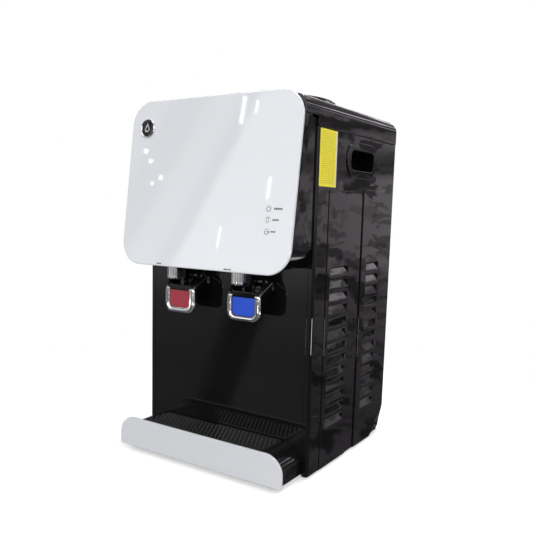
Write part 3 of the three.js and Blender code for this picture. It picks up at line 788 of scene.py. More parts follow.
def stroke(points, width=0.8, closed=False):
    """A flat printed line along a list of (x, z) places on the plate."""
    line = tube([(x, 0, z) for x, z in points], width / 2, closed, 1)
    low = at(0, 0, 0).y
    for vertex in line.vertices:
        vertex.co.y = low + (vertex.co.y - low) * 0.2 - 0.02 * MM
    return line


def dashes(x, z, widths, tall=2.1, gap=0.7):
    """A row of small bars that stands for a printed word."""
    bars = []
    for width in widths:
        outline = rounded((x, x + width), about(z, tall / 2), 0.25, 2)
        bars.append(slab(outline, [], "y", (-0.1, 0.1), 0.05, 1))
        x += width + gap
    return bars


def build_marks():
    x = LENS["x"]
    power, cold, hot = (z for _, z in LENS["heights"])
    glass = [(x - 2.2, cold + 2.6), (x - 1.5, cold - 3), (x + 1.5, cold - 3), (x + 2.2, cold + 2.6)]
    marks = [
        stroke(arc(x, power, 3.3, 120, 420, 24)), stroke([(x, power + 0.6), (x, power + 3.9)]),
        stroke(glass, closed=True),
        stroke([(x - 0.4, cold + 4), (x + 1, cold + 2.2)]),
        stroke(arc(x - 0.4, hot - 0.6, 2.9, 20, -200, 18), closed=True),
        stroke(arc(x + 2.8, hot - 0.4, 1.3, 100, -100, 8)),
        stroke([(x - 1.4, hot + 2), (x - 1.1, hot + 3.8)]),
        stroke([(x + 0.4, hot + 2), (x + 0.7, hot + 3.8)]),
        *dashes(x + 8.5, power, (1.9, 1.9, 2.3, 1.7, 1.9), 2.6),
        *dashes(x + 7.5, cold, (1.9, 1.9, 1.6, 1.9)),
        *dashes(x + 6.5, hot, (1.9, 1.9, 1.6)),
        *dashes(-TAP_X - 18, 3.4, (2.4, 2.4, 2), 2.1, 0.9),
        *dashes(TAP_X - 12.5, 3.4, (2.4, 2.4, 2, 2.4), 2.1, 0.9),
    ]
    plate_piece("plate_print", merge(*marks), M["ink"])


# ------------------------------------------------------------------ top cover and bottle seat

COVER = {"top": 532, "low": 494, "tongue": 507.4, "round": 17}
SEAT_Y = 114
SEAT_RIBS = 12
PORTS = {"count": 4, "start": 0.37, "away": 20}  # holes round the probe's foot
FLANGE_Z = 532.3


def build_cover():
    front = PLATE["thick"] + 0.3
    side = [
        (behind_plate(COVER["tongue"], front), COVER["tongue"]), (0.3, COVER["tongue"]), (0.3, COVER["low"]),
        (DEPTH, COVER["low"]), (DEPTH, COVER["top"]), (behind_plate(COVER["top"], front), COVER["top"]),
    ]
    solid = skin([[at(x, y, z) for y, z in side] for x in (-HALF, HALF)])
    work = bmesh.new()
    work.from_mesh(solid)
    top = COVER["top"] * MM

    def is_big(edge):
        a, b = (vertex.co for vertex in edge.verts)
        along = abs(a.x - b.x) < 1e-6 and abs(a.y - b.y) > 0.2
        across = abs(a.y - b.y) < 1e-6 and a.y > FRONT + 0.2 and abs(a.x - b.x) > 0.2
        return min(a.z, b.z) > top - 1e-5 and (along or across)

    big = [edge for edge in work.edges if is_big(edge)]
    bmesh.ops.bevel(work, geom=big, offset=COVER["round"] * MM, segments=10, profile=0.5, affect="EDGES")
    sharp = [edge for edge in work.edges if edge.calc_face_angle(0) > math.radians(40)]
    bmesh.ops.bevel(work, geom=sharp, offset=1.1 * MM, segments=3, profile=0.5, affect="EDGES")
    work.to_mesh(solid)
    work.free()
    well = lathe([(0, 450), (104, 450), (104, 560), (0, 560)], (0, SEAT_Y, 0), steps=96)
    piece("cover_shell", cut(solid, well), "cabinet", M["black"], "top_cover")


def soften(profile, radius, steps=4):
    """A profile with its inner corners turned into short arcs."""
    points = [profile[0]]
    for before, corner, after in zip(profile, profile[1:], profile[2:]):
        b, c, a = (Vector(point) for point in (before, corner, after))
        reach = min(radius, (b - c).length * 0.45, (a - c).length * 0.45)
        start, end = c + (b - c).normalized() * reach, c + (a - c).normalized() * reach
        for i in range(steps + 1):
            t = i / steps
            point = start * (1 - t) ** 2 + c * 2 * t * (1 - t) + end * t ** 2
            points.append((point.x, point.y))
    return points + [profile[-1]]


def build_seat():
    flange = FLANGE_Z
    profile = [
        (30, 462), (33, 462), (33, 483), (43, 485.5), (91, 508), (100, 526), (100, flange), (124, flange),
        (124, flange + 3), (121, flange + 5), (104.5, flange + 5), (102.5, 547), (100.5, 549), (97.5, 549),
        (96, 545), (93.5, 538), (93, 527), (86, 511), (66, 501), (64.5, 503), (61, 502), (60, 498.5),
        (41, 489), (31.5, 486.5), (30, 484), (30, 462)]
    bowl = lathe(soften(profile, 1.6), (0, SEAT_Y, 0), steps=128)
    piece("seat_bowl", bowl, "bottle_seat", M["black"], "bottle_receptacle", sharp=60)
    ribs = []
    for i in range(SEAT_RIBS):
        rib = block((66.5, 84), (-0.9, 0.9), (503, 509.5), 0.5)
        ribs.append(moved(rib, turned_to((0, SEAT_Y, 0), TAU * (i + 0.5) / SEAT_RIBS, "Z")))
    piece("seat_ribs", merge(*ribs), "bottle_seat", M["black"])
    probe = [
        (0, 463), (29.6, 463), (29.6, 466), (10, 468), (8.6, 474), (8.2, 512), (7.4, 517), (5.6, 521),
        (3, 523.5), (0, 524)]
    stem = lathe(soften(probe, 1.2), (0, SEAT_Y, 0), steps=48)
    ports = []
    away = PORTS["away"]
    for i in range(PORTS["count"]):
        a = TAU * (i + PORTS["start"]) / PORTS["count"]
        place = (away * math.cos(a), SEAT_Y + away * math.sin(a), 0)
        ports.append(lathe([(0, 455), (5, 455), (5, 475), (0, 475)], place, steps=24))
    slots = [block((-12, 12), (SEAT_Y - 1.6, SEAT_Y + 1.6), (498, 512), 1.2)]
    piece("seat_probe", cut(stem, *ports, *slots), "bottle_seat", M["white"], "bottle_probe")
    seal = [
        (33.3, 470), (37, 470), (38, 471.5), (37.2, 473), (38, 474.5), (37, 476), (33.3, 476), (33.3, 470)]
    piece("seat_seal", lathe(soften(seal, 0.5), (0, SEAT_Y, 0)), "cabinet", M["silicone"], "receptacle_seal")


# ------------------------------------------------------------------ front wall and base

TAP_X = sum(extent("spout_cold")[0]) / 2
TAP_Z = 288
FLANGE = HALF - 9.3
TRAY = {"half": 142, "low": 31.4, "top": 50.5, "round": 34, "front": -64.9, "back": -0.5}


def build_wall():
    holes = [circle(x, TAP_Z, 9.3) for x in (-TAP_X, TAP_X)]
    sheet = slab(rounded((-FLANGE, FLANGE), (31.3, SEAM), 0.8, 2), holes, "y", (0, 3), 0.5, 2)
    piece("wall_sheet", sheet, "cabinet", M["wall"], "front_panel")


def build_base():
    apron_plan = rounded((-140.7, 140.7), (-65, 8), [5, 5, 1, 1], 5)
    apron = slab(apron_plan, [], "z", (6, 31), 1.4, 3)
    lip = slab(rounded((-141.6, 141.6), (-62, 6), [5, 5, 1, 1], 5), [], "z", (27.6, 30.9), 0.9, 3)
    floor = slab(rounded((-145.5, 145.5), (4.5, 258.5), 3, 3), [], "z", (BASE, BASE + 6), 0.8, 2)
    ribs = [block((-145, 145), (y, y + 2), (BASE + 5, BASE + 9), 0.4) for y in (60, 120, 180, 240)]
    piece("base_pan", merge(apron, lip, floor, *ribs), "cabinet", M["black"], "base_frame")
    for name in ("foot_front_left", "foot_front_right", "foot_rear_left", "foot_rear_right"):
        (x0, x1), (y0, y1), (_, top) = extent(name)
        centre = ((x0 + x1) / 2, (y0 + y1) / 2, 0)
        profile = [
            (0, 0), (4, 0), (4.5, 0.5), (9.6, 0), (11, 1), (10.4, 2.7), (3.5, 2.7), (3.5, top), (0, top)]
        piece(f"{name}_pad", lathe(profile, centre, steps=40), "cabinet", M["rubber"], name)


# ------------------------------------------------------------------ taps

PIVOT = (-19, 281)
CHAMBER = [(0, 284), (5.9, 284), (5.9, 297.6), (0, 297.6)]  # the room of the stem's head and its spring
FLUTE_STEPS = 8  # points round each of a spout's flutes
PADDLE = {"front": -36.8, "low": 224.6, "high": 262, "half": 28.5, "inset": 19, "inset_low": 232.3}
SPOUT = {"half": 10, "front": -56, "back": -40.9, "low": 278, "high": 299.5, "flutes": 15, "corner": 4.6}
STEM_Y = -11


def fluted(half, span, radius, depth):
    """A rounded rectangle with shallow flutes all round it, in (x, y) about the middle of x."""
    corners = [Vector(point) for point in rounded((-half, half), span, [radius, radius, 0.8, 0.8], 12)]
    lengths = [(b - a).length for a, b in zip(corners, corners[1:] + corners[:1])]
    middle = Vector((0, sum(span) / 2))
    count = SPOUT["flutes"] * FLUTE_STEPS
    places = []
    edge, passed = 0, 0.0
    for i in range(count):
        target = sum(lengths) * i / count
        while passed + lengths[edge] < target:
            passed += lengths[edge]
            edge += 1
        along = (target - passed) / lengths[edge]
        place = corners[edge].lerp(corners[(edge + 1) % len(corners)], along)
        dip = depth * (1 - abs(math.cos(math.pi * i / FLUTE_STEPS)))
        places.append(place + (middle - place).normalized() * dip)
    return [(place.x, place.y) for place in places]


def spout_mesh(x):
    """A chrome nozzle with round corners, shallow flutes, a waist line and a bored end."""
    low, high, half = SPOUT["low"], SPOUT["high"], SPOUT["half"]
    span = SPOUT["front"], SPOUT["back"]
    middle = Vector((0, sum(span) / 2))

    def ring(grow, z, depth=0.0):
        places = fluted(half + grow, (span[0] - grow, span[1] + grow / 2), SPOUT["corner"] + grow, depth)
        return [at(x + u, v, z) for u, v in places]

    def bore(z):
        rays = [(Vector(place) - middle).normalized() for place in fluted(half, span, SPOUT["corner"], 0)]
        return [at(x + 5.2 * ray.x, middle.y + 5.2 * ray.y, z) for ray in rays]

    shell = skin([
        ring(-1, high), ring(-0.2, high - 0.4), ring(-0.1, high - 1, 0.4), ring(-0.1, low + 3.4, 0.4),
        ring(0, low + 3.0), ring(-0.5, low + 2.7), ring(-0.5, low + 2.2), ring(0, low + 1.9),
        ring(0, low + 0.7), ring(-0.7, low), bore(low), bore(low + 14)])
    lip = lathe(
        [(5.3, low + 12), (5.3, low - 0.4), (5.6, low - 0.9), (6.4, low - 0.9), (6.8, low - 0.4),
         (6.8, low + 2), (6.2, low + 12), (5.3, low + 12)],
        (x, middle.y, 0), steps=32)
    return merge(shell, lip)


def tap_block(x):
    """A tap's body and collar with the valve chamber through both, its neck and its shank."""
    body = block(about(x, 13.5), (-40.6, -0.3), (276.5, 299.5), 1.6, 3)
    neck = block(about(x, 9.6), (-39.4, -30), (274.6, 278), 0.9, 3)
    collar = lathe(
        [(0, -6), (15.2, -6), (16.4, -5), (16.4, -1.2), (15.6, -0.3), (0, -0.3)], (x, 0, TAP_Z), "y", 48)
    shank = lathe([(0, -2), (9, -2), (9, 22.5), (8, 24), (5, 24), (5, 2), (0, 2)], (x, 0, TAP_Z), "y", 32)
    rooms = [lathe(CHAMBER, (x, STEM_Y, 0), steps=24) for _ in range(2)]
    channel = lathe([(0, 270), (2.9, 270), (2.9, 285), (0, 285)], (x, STEM_Y, 0), steps=24)
    return cut(body, rooms[0], channel), neck, cut(collar, rooms[1]), shank


def lever_arm(x):
    """One side plate of a lever, from the paddle's corner up to the wall."""
    outline = [
        (-35, 253), (-33.4, 249.8), (-29, 248.2), (-7, 266), (-4.6, 269), (-4.6, 277.6), (-6.4, 279.2),
        (-10, 280.4), (-15, 286.6), (-19, 287.4), (-22.6, 285.6), (-26, 276), (-34.6, 265.6)]
    return slab(outline, [], "x", about(x, 1.8), 0.8, 3)


def arm_rims(x):
    """A steel bead along the upper edge of each lever arm, from the frame's corner to the wall."""
    beads = []
    for side in (-1, 1):
        edge = x + side * 27
        beads.append(tube([(edge, -35.4, 262.6), (edge, -24, 269.2), (edge, -5.4, 278)], 1.1, rounds=3))
    return merge(*beads)


def lever_mesh(x):
    back = slab(
        rounded(about(x, 27.6), (226.5, 262), [13, 13, 2, 2], 6), [], "y", (-33.6, -30.6), 1.0, 2)
    brow_plan = [
        (x - 26, 258), (x + 26, 258), (x + 26.4, 261.5), *arc(x + 17, 262.6, 4.4, 45, 90, 4),
        *arc(x - 17, 262.6, 4.4, 90, 135, 4), (x - 26.4, 261.5)]
    brow = slab(brow_plan, [], "y", (-36, -31), 1.3, 3)
    web = block(about(x, 24), (-32, -5.5), (263.8, 267), 0.8)
    bosses = []
    arms = []
    for side in (-1, 1):
        arms.append(lever_arm(x + side * 25.6))
        boss = [(0, 0), (4.6, 0), (5.2, 0.6), (5.2, 5), (0, 5)]
        shifted = [(radius, x + side * 22.4 + side * height * 0.2) for radius, height in boss]
        bosses.append(lathe(shifted, (0, *PIVOT), "x", 28))
    return merge(back, brow, web, *arms, *bosses)


def lever_frame_mesh(x):
    """The chrome U round a lever's insert: a flat frame with a tall crown along its middle,
    and ends that lean in towards the brow."""
    front = PADDLE["front"]
    half, low, high = PADDLE["half"], PADDLE["low"], PADDLE["high"]

    def outer(inset):
        edge = half - inset
        return [
            *arc(x - edge + 14 - inset, low + 14, 14 - inset, 180, 270, 9),
            *arc(x + edge - 14 + inset, low + 14, 14 - inset, 270, 360, 9),
            (x + edge, high - 6), (x + edge - 1.6, high - 1.4), (x + edge - 3.2, high - inset),
            (x - edge + 3.2, high - inset), (x - edge + 1.6, high - 1.4), (x - edge, high - 6)]

    reach = PADDLE["inset"] + 0.4
    inner = rounded(about(x, reach), (PADDLE["inset_low"] - 0.4, high + 6), [8, 8, 0, 0], 9)
    base = slab(outer(0), [], "y", (front, -33.3), 1.5, 4)
    window = slab(inner, [], "y", (front - 2, -32), 0.1, 1)
    bead = tube([(u, front + 0.9, v) for u, v in bead_path(x)], 2.6, rounds=5)
    return merge(cut(base, window), bead)


def bead_path(x):
    reach = (PADDLE["half"] + PADDLE["inset"]) / 2
    low = (PADDLE["low"] + PADDLE["inset_low"]) / 2
    return [
        (x - reach, PADDLE["high"] - 2), *arc(x - reach + 10.5, low + 10.5, 10.5, 180, 270, 10),
        *arc(x + reach - 10.5, low + 10.5, 10.5, 270, 360, 10), (x + reach, PADDLE["high"] - 2)]


def insert_mesh(x):
    reach = PADDLE["inset"] - 0.2
    outline = rounded(about(x, reach), (PADDLE["inset_low"], 258.3), [7.6, 7.6, 2.4, 2.4], 8)
    return slab(outline, [], "y", (PADDLE["front"] - 0.2, -33.4), 0.9, 3)


def stem_mesh(x):
    profile = [
        (0, 267.3), (1.2, 267.6), (2.1, 268.4), (2.5, 269.8), (2.5, 284.5), (4.9, 284.5), (5.3, 285),
        (5.3, 286.5), (4.9, 287), (0, 287)]
    return lathe(profile, (x, STEM_Y, 0), steps=24)


def nut_mesh(x):
    corners = [(x + 15 * math.cos(TAU * i / 6), TAP_Z + 15 * math.sin(TAU * i / 6)) for i in range(6)]
    return slab(corners, [circle(x, TAP_Z, 9.3)], "y", (3.3, 11), 0.8, 2)


def pin_mesh(x):
    profile = [(0, x - 28), (1.6, x - 28), (2, x - 27.5), (2, x + 27.5), (1.6, x + 28), (0, x + 28)]
    return lathe(profile, (0, *PIVOT), "x", 24)


def build_taps():
    for name, x, colour in (("hot", -TAP_X, "red"), ("cold", TAP_X, "blue")):
        lever = f"{name}_lever"
        piece(f"{name}_spout_shell", spout_mesh(x), "cabinet", M["chrome"], f"spout_{name}")
        piece(f"{name}_tap_block", merge(*tap_block(x)), "cabinet", M["black"], f"tap_body_{name}")
        piece(f"{name}_tap_nut", nut_mesh(x), "cabinet", M["satin"], f"tap_nut_{name}")
        piece(f"{name}_lever_shell", lever_mesh(x), lever, M["black"], f"lever_{name}")
        rim = lever_frame_mesh(x)
        piece(f"{name}_lever_chrome", rim, lever, M["chrome"], f"lever_frame_{name}", sharp=60)
        piece(f"{name}_lever_rims", arm_rims(x), lever, M["steel"])
        piece(f"{name}_lever_pad", insert_mesh(x), lever, M[colour], f"lever_insert_{name}")
        piece(f"{name}_plunger", stem_mesh(x), f"{name}_valve", M["satin"], f"valve_stem_{name}")
        piece(f"{name}_pivot_pin", pin_mesh(x), "cabinet", M["steel"], f"lever_pin_{name}")


# ------------------------------------------------------------------ drip tray

def build_tray():
    half, top, front, back = TRAY["half"], TRAY["top"], TRAY["front"], TRAY["back"]
    radius = TRAY["round"]
    centre = top - radius
    turn = math.degrees(math.asin((TRAY["low"] - centre) / radius))
    profile = [
        *arc(half - radius, centre, radius, turn, 90, 14),
        *arc(radius - half, centre, radius, 90, 180 - turn, 14)]
    solid = slab(profile, [], "y", (front + 0.2, back), 1.6, 4)
    well = block((-104, 104), (front + 4, back - 4), (34, 90), 3, 4)
    rebate = block((-112.3, 112.3), (front - 10, back - 2), (48.7, 90), 0)
    piece("tray_basin", cut(solid, well, rebate), "drip_tray", M["black"], "drip_tray")
    across, depth, height = extent("drip_tray_fascia")
    fascia = slab(rounded(across, height, [4, 4, 28, 28], 16), [], "y", depth, 1.5, 5)
    piece("tray_fascia", fascia, "drip_tray", M["fascia"], "drip_tray_fascia")


GRILLE = {"half": 112, "low": 49, "top": 51.8, "pitch": 7, "hole": 1.7}


def build_grille():
    """The drip grille: staggered rows of holes, with a raised eyelet round each."""
    half, low, top, pitch = (GRILLE[key] for key in ("half", "low", "top", "pitch"))
    front, back = TRAY["front"] + 0.1, TRAY["back"] - 2.3
    outline = rounded((-half, half), (front, back), [1, 1, 9, 9], 6)
    bore = GRILLE["hole"] - 0.1
    eyelet = [
        (bore, top - 2.2), (bore + 0.5, top - 0.3), (bore + 0.75, top), (bore + 1.1, top),
        (bore + 1.6, top - 0.7), (bore + 0.6, top - 2.2), (bore, top - 2.2)]
    holes, eyelets = [], []
    rows = int((back - front - 8) / pitch) + 1
    columns = int((2 * half - 12) / pitch) + 1
    for row in range(rows):
        shift = (row % 2) * pitch / 2
        for column in range(columns - row % 2):
            x = (column - (columns - 1) / 2) * pitch + shift
            y = front + 5 + row * pitch
            holes.append(circle(x, y, GRILLE["hole"], 12))
            eyelets.append(lathe(eyelet, (x, y, 0), steps=12))
    sheet = slab(outline, holes, "z", (low, top - 0.5), 0.3, 1)
    piece("grille_plate", merge(sheet, *eyelets), "grille", M["side"], "drip_grille", sharp=20)


# ------------------------------------------------------------------ rear

REAR = extent("rear_panel")[1][1]
REAR_FACE = REAR + 0.3  # what is fixed on the outside of the rear panel starts here
SWITCH_X, SWITCH_Z = (50, 112), (62, 96)
ROCKER_X = {"cold_switch": 66, "hot_switch": 96}
ROCKER_Y = 257
VENT = {"rows": 4, "low": 30, "pitch": 6, "tall": 2.5, "inner": 20, "outer": 110}
DRAIN = (-80, 62)


def screw(x, y, z):
    """A small domed screw with a cross slot, its head to the back."""
    profile = [(0, 1.5), (1.6, 1.35), (2.9, 0.8), (3.3, 0), (3.3, -0.5), (0, -0.5)]
    head = lathe(profile, (x, y, z), "y", 24)
    depth = (y + 0.6, y + 2.4)
    slots = [block(about(x, wide), depth, about(z, tall), 0) for wide, tall in ((2.1, 0.4), (0.4, 2.1))]
    return cut(head, *slots)


def build_rear_panel():
    inlet_x, _, inlet_z = extent("power_inlet")
    holes = [
        rounded(widened(SWITCH_X, 0.3), widened(SWITCH_Z, 0.3), 1, 2),
        rounded(widened(inlet_x, -1.7), widened(inlet_z, -1.7), 1, 2),
        circle(*DRAIN, 8.3, 24),
    ]
    for row in range(VENT["rows"]):
        low = VENT["low"] + VENT["pitch"] * row
        for side in (-1, 1):
            x = sorted((side * VENT["inner"], side * VENT["outer"]))
            holes.append(rounded(x, (low, low + VENT["tall"]), 1.2, 3))
    sheet = slab(rounded(about(0, 146.5), (9.5, SEAM), 2, 3), holes, "y", (REAR - 2, REAR), 0.4, 1)
    ribs = [slab(rounded(about(x, 2.5), (112, 440), 2.4, 4), [], "y", (REAR - 0.5, REAR + 1), 0.7, 2)
            for x in (-132, 132)]
    piece("rear_sheet", merge(sheet, *ribs), "cabinet", M["black_steel"], "rear_panel")
    places = [(x, z) for x in (-140, 140) for z in (20, 250, 480)] + [(0, 480), (0, 20)]
    screws = merge(*[screw(x, REAR + 0.1, z) for x, z in places])
    piece("rear_screws", screws, "cabinet", M["steel"])


def condenser_path():
    """Level runs joined by half-round bends at alternate ends."""
    low, runs, pitch, reach, y = 130, 9, 36, 112, 266
    bend = pitch / 2
    end = reach - bend
    points = []
    for run in range(runs):
        z = low + run * pitch
        side = 1 if run % 2 == 0 else -1
        points += [(-side * end, y, z), (0, y, z), (side * end, y, z)]
        if run < runs - 1:
            for a in (math.radians(angle) for angle in range(-75, 76, 15)):
                points.append((side * end + side * bend * math.cos(a), y, z + bend + bend * math.sin(a)))
    return points


def build_condenser():
    coil = tube(condenser_path(), 2.2, rounds=4)
    piece("condenser_tube", coil, "cabinet", M["black_steel"], "condenser_coil")
    wires = []
    for i in range(33):
        x = -104 + i * 6.5
        for y in (263.4, 268.6):
            wires.append(tube([(x, y, 124), (x, y, 424)], 0.65, rounds=1))
    piece("condenser_wires", merge(*wires), "cabinet", M["black_steel"])
    for name in ("condenser_bracket_left", "condenser_bracket_right"):
        across, depth, height = extent(name)
        strap = block(across, depth, height, 0.5)
        clips = [block(widened(across, -1), (depth[1] - 0.5, 268.9), about(z, 3.4), 0.6)
                 for z in (166, 238, 310, 382)]
        screws = [screw(sum(across) / 2, depth[1] + 0.1, z) for z in widened(height, -6)]
        piece(f"{name}_strap", merge(strap, *clips, *screws), "cabinet", M["steel"], name)


def rocker_side():
    """A rocker's section in (depth, height) about its pivot, with a dished face."""

    def dish(angles):
        turns = [math.radians(angle) for angle in angles]
        return [(7.4 - 2.4 * math.cos(a), 10 * math.sin(a)) for a in turns]

    return [
        (5.3, -0.5), *dish(range(15, 76, 15)), (7.3, 10), (-2, 9), (-6, 0), (-2, -9), (7.3, -10),
        *dish(range(-75, -14, 15))]


def rocker_marks(x):
    """A bar and a ring, for on and off."""
    bar = block(about(x, 0.45), (6.2, 6.75), (3.2, 7.2), 0.1)
    ring = [(x + 1.7 * math.cos(TAU * i / 20), 6.5, -5.3 + 1.7 * math.sin(TAU * i / 20)) for i in range(20)]
    return merge(bar, tube(ring, 0.28, True, 1))


def build_switches(face):
    middle = sum(SWITCH_Z) / 2
    pockets = [rounded(about(x, 11.5), about(middle, 12.5), 1, 3) for x in ROCKER_X.values()]
    rim = rounded(widened(SWITCH_X, 2), widened(SWITCH_Z, 2), 3, 4)
    bezel = slab(rim, pockets, "y", (face, face + 2), 0.7, 2)
    shaft = rounded(widened(SWITCH_X, -0.5), widened(SWITCH_Z, -0.5), 1, 2)
    walls = slab(shaft, pockets, "y", (240, face + 0.5), 0.2, 1)
    floor = block(widened(SWITCH_X, -1), (236, 241), widened(SWITCH_Z, -1), 0.4)
    piece("switch_bezel", merge(bezel, walls, floor), "cabinet", M["satin"], "switch_housing")
    tilt = turned_to((0, ROCKER_Y, middle), math.radians(-9), "X")
    for name, x in ROCKER_X.items():
        body = name.replace("switch", "rocker")
        colour = "red" if name == "hot_switch" else "satin"
        cap = slab(rocker_side(), [], "x", about(x, 11), 0.5, 2)
        piece(f"{body}_cap", moved(cap, tilt), body, M[colour], name)
        piece(f"{body}_marks", moved(rocker_marks(x), tilt), body, M["white"])


def build_inlet(face):
    across, _, height = extent("power_inlet")
    hole = rounded(widened(across, -5), widened(height, -5), [1, 1, 5, 5], 4)
    flange = slab(rounded(across, height, 2.4, 4), [hole], "y", (face, face + 2), 0.6, 2)
    shaft = rounded(widened(across, -2.3), widened(height, -2.3), 1, 2)
    throat = slab(shaft, [hole], "y", (242, face + 0.5), 0.2, 1)
    floor = block(widened(across, -3), (238, 243), widened(height, -3), 0.4)
    piece("inlet_body", merge(flange, throat, floor), "cabinet", M["satin"], "power_inlet")
    middle = sum(height) / 2
    pins = [block(about(x, 0.9), (242, 257), about(z, 2.4), 0.5)
            for x, z in ((-5.5, middle - 1.5), (5.5, middle - 1.5), (0, middle + 3))]
    piece("inlet_pins", merge(*pins), "cabinet", M["steel"])


def build_drain(face):
    x, z = DRAIN
    pipe = [(5, 240), (8, 240), (8, 264.6), (7.4, 265.8), (5.6, 266), (5, 265.4), (5, 240)]
    piece("drain_pipe", lathe(pipe, (x, 0, z), "y", 40), "cabinet", M["white"], "drain_spout")
    cap = [
        (0, 267.2), (8.3, 267.2), (8.3, face + 0.2), (11.2, face + 0.2), (12, face + 1), (12, 268.6),
        (11, 269.6), (4, 269.6), (3.4, 269), (0, 269)]
    body = lathe(cap, (x, 0, z), "y", 72)
    notch = [(0, face - 1), (0.9, face - 1), (0.9, 271), (0, 271)]
    grips = []
    for a in (TAU * i / 18 for i in range(18)):
        grips.append(lathe(notch, (x + 12.5 * math.cos(a), 0, z + 12.5 * math.sin(a)), "y", 8))
    piece("drain_cap_moulding", cut(body, merge(*grips)), "drain_cap", M["satin"], "drain_cap")


# ------------------------------------------------------------------ inner pieces kept from the frame

INNER = {
    "steel": ("cold_tank", "hot_tank", "compressor_bracket", "valve_spring_hot", "valve_spring_cold"),
    "foam": ("tank_insulation",),
    "copper": ("evaporator_coil", "filter_drier"),
    "black_steel": ("compressor",),
    "silicone": ("cold_water_tube", "hot_water_tube"),
    "board": ("indicator_board",),
}


def finish_inner():
    for material, names in INNER.items():
        for name in names:
            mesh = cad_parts[name].data
            mesh.materials.clear()
            mesh.materials.append(M[material])


# ------------------------------------------------------------------ floor, light and background

# Brightness of the room by elevation in degrees, behind the object and in front of it.
REAR_ROOM = (
    (-90, 0.15), (-44, 0.3), (-41, 1.6), (-38, 1.6), (-37, 0.5), (-30, 0.5), (-28.5, 2.2), (-26, 2.2),
    (-25.2, 0.2), (-18, 0.1), (-14, 0.14), (-8, 0.24), (-5.2, 0.3), (-4.6, 0.55), (3.0, 0.62), (3.6, 0.25),
    (5.2, 0.25), (5.6, 0.5), (6.8, 0.5), (7.1, 0.2), (7.6, 0.2), (7.9, 0.6), (9.2, 0.5), (9.6, 0.12),
    (10.4, 0.12), (11.0, 1.3), (14, 1.3), (14.5, 0.3), (19, 0.2), (20, 3.2), (22, 3.2), (22.6, 0.3),
    (30, 0.25), (31, 1.3), (34, 1.3), (34.6, 0.25), (47, 0.25), (48, 1.8), (51, 1.8), (52, 0.4), (90, 0.4))
FRONT_ROOM = (
    (-90, 0.06), (-22, 0.06), (-13, 0.06), (-8, 0.1), (-3, 0.3), (0, 0.62), (8, 0.62), (40, 0.62), (48, 0.5),
    (66, 0.4), (70, 1.0), (90, 0.8))
# Soft oblique bands over the front left, by azimuth less a third of the elevation, in degrees.
BANDS = (
    (-90, 1.0), (-50.2, 0.9), (-50.0, 0.2), (-47.4, 0.2), (-47.0, 1.2), (-44.9, 0.9), (-44.7, 0.2),
    (-43.4, 0.3), (-42.9, 2.6), (-33.4, 2.6), (-32.8, 0.7), (-30.4, 0.7), (-29.4, 3.2), (-20, 2.6),
    (0, 1.2), (90, 1.0))
DEGREES = 180 / math.pi


class Sky(Nodes):
    """The room round the object as a node tree on directions."""

    def __init__(self, tree):
        super().__init__(tree)
        self.nodes.clear()
        self.direction = self.add("ShaderNodeTexCoord").outputs["Generated"]
        split = self.add("ShaderNodeSeparateXYZ", {"Vector": self.direction}).outputs
        self.forward = split["Y"]
        ahead = self.maths("MULTIPLY", split["Y"], -1.0)
        self.azimuth = self.maths("MULTIPLY", self.maths("ARCTAN2", split["X"], ahead), DEGREES)
        self.elevation = self.maths("MULTIPLY", self.maths("ARCSINE", split["Z"]), DEGREES)

    def profile(self, angle, stops, full=4.0):
        """A level read from (angle, level) stops."""
        low, high = stops[0][0], stops[-1][0]
        share = self.add("ShaderNodeMapRange", {
            "Value": angle, "From Min": float(low), "From Max": float(high)})
        curve = self.add("ShaderNodeFloatCurve", {"Value": share.outputs["Result"]})
        points = curve.mapping.curves[0].points
        while len(points) < len(stops):
            points.new(0.5, 0.5)
        for point, (stop, level) in zip(points, stops):
            point.location = ((stop - low) / (high - low), level / full)
            point.handle_type = "VECTOR"
        curve.mapping.update()
        return self.maths("MULTIPLY", curve.outputs[0], full)

    def clutter(self, scale, dark, seed, share):
        """Blocks like shelves and doorways: a share of them down to the dark level."""
        place = self.add("ShaderNodeCombineXYZ", {
            "X": self.maths("ADD", self.azimuth, seed), "Y": self.elevation}).outputs[0]
        drift = self.add("ShaderNodeTexNoise", {"Vector": place, "Scale": 0.8, "Detail": 3.0})
        offset = self.add(
            "ShaderNodeVectorMath", {0: drift.outputs["Color"], "Scale": 2.4}, operation="SCALE").outputs[0]
        place = self.add("ShaderNodeVectorMath", {0: place, 1: offset}, operation="ADD").outputs[0]
        bricks = self.add("ShaderNodeTexBrick", {
            "Vector": place, "Scale": scale, "Mortar Size": 0.0, "Bias": 0.0, "Brick Width": 0.62,
            "Row Height": 0.31, "Color1": (0, 0, 0, 1), "Color2": (1, 1, 1, 1)})
        bricks.offset, bricks.squash, bricks.squash_frequency = 0.37, 1.7, 3
        level = self.add("ShaderNodeMapRange", {
            "Value": bricks.outputs["Color"], "From Min": share, "From Max": share + 0.15, "To Min": dark})
        return level.outputs["Result"]


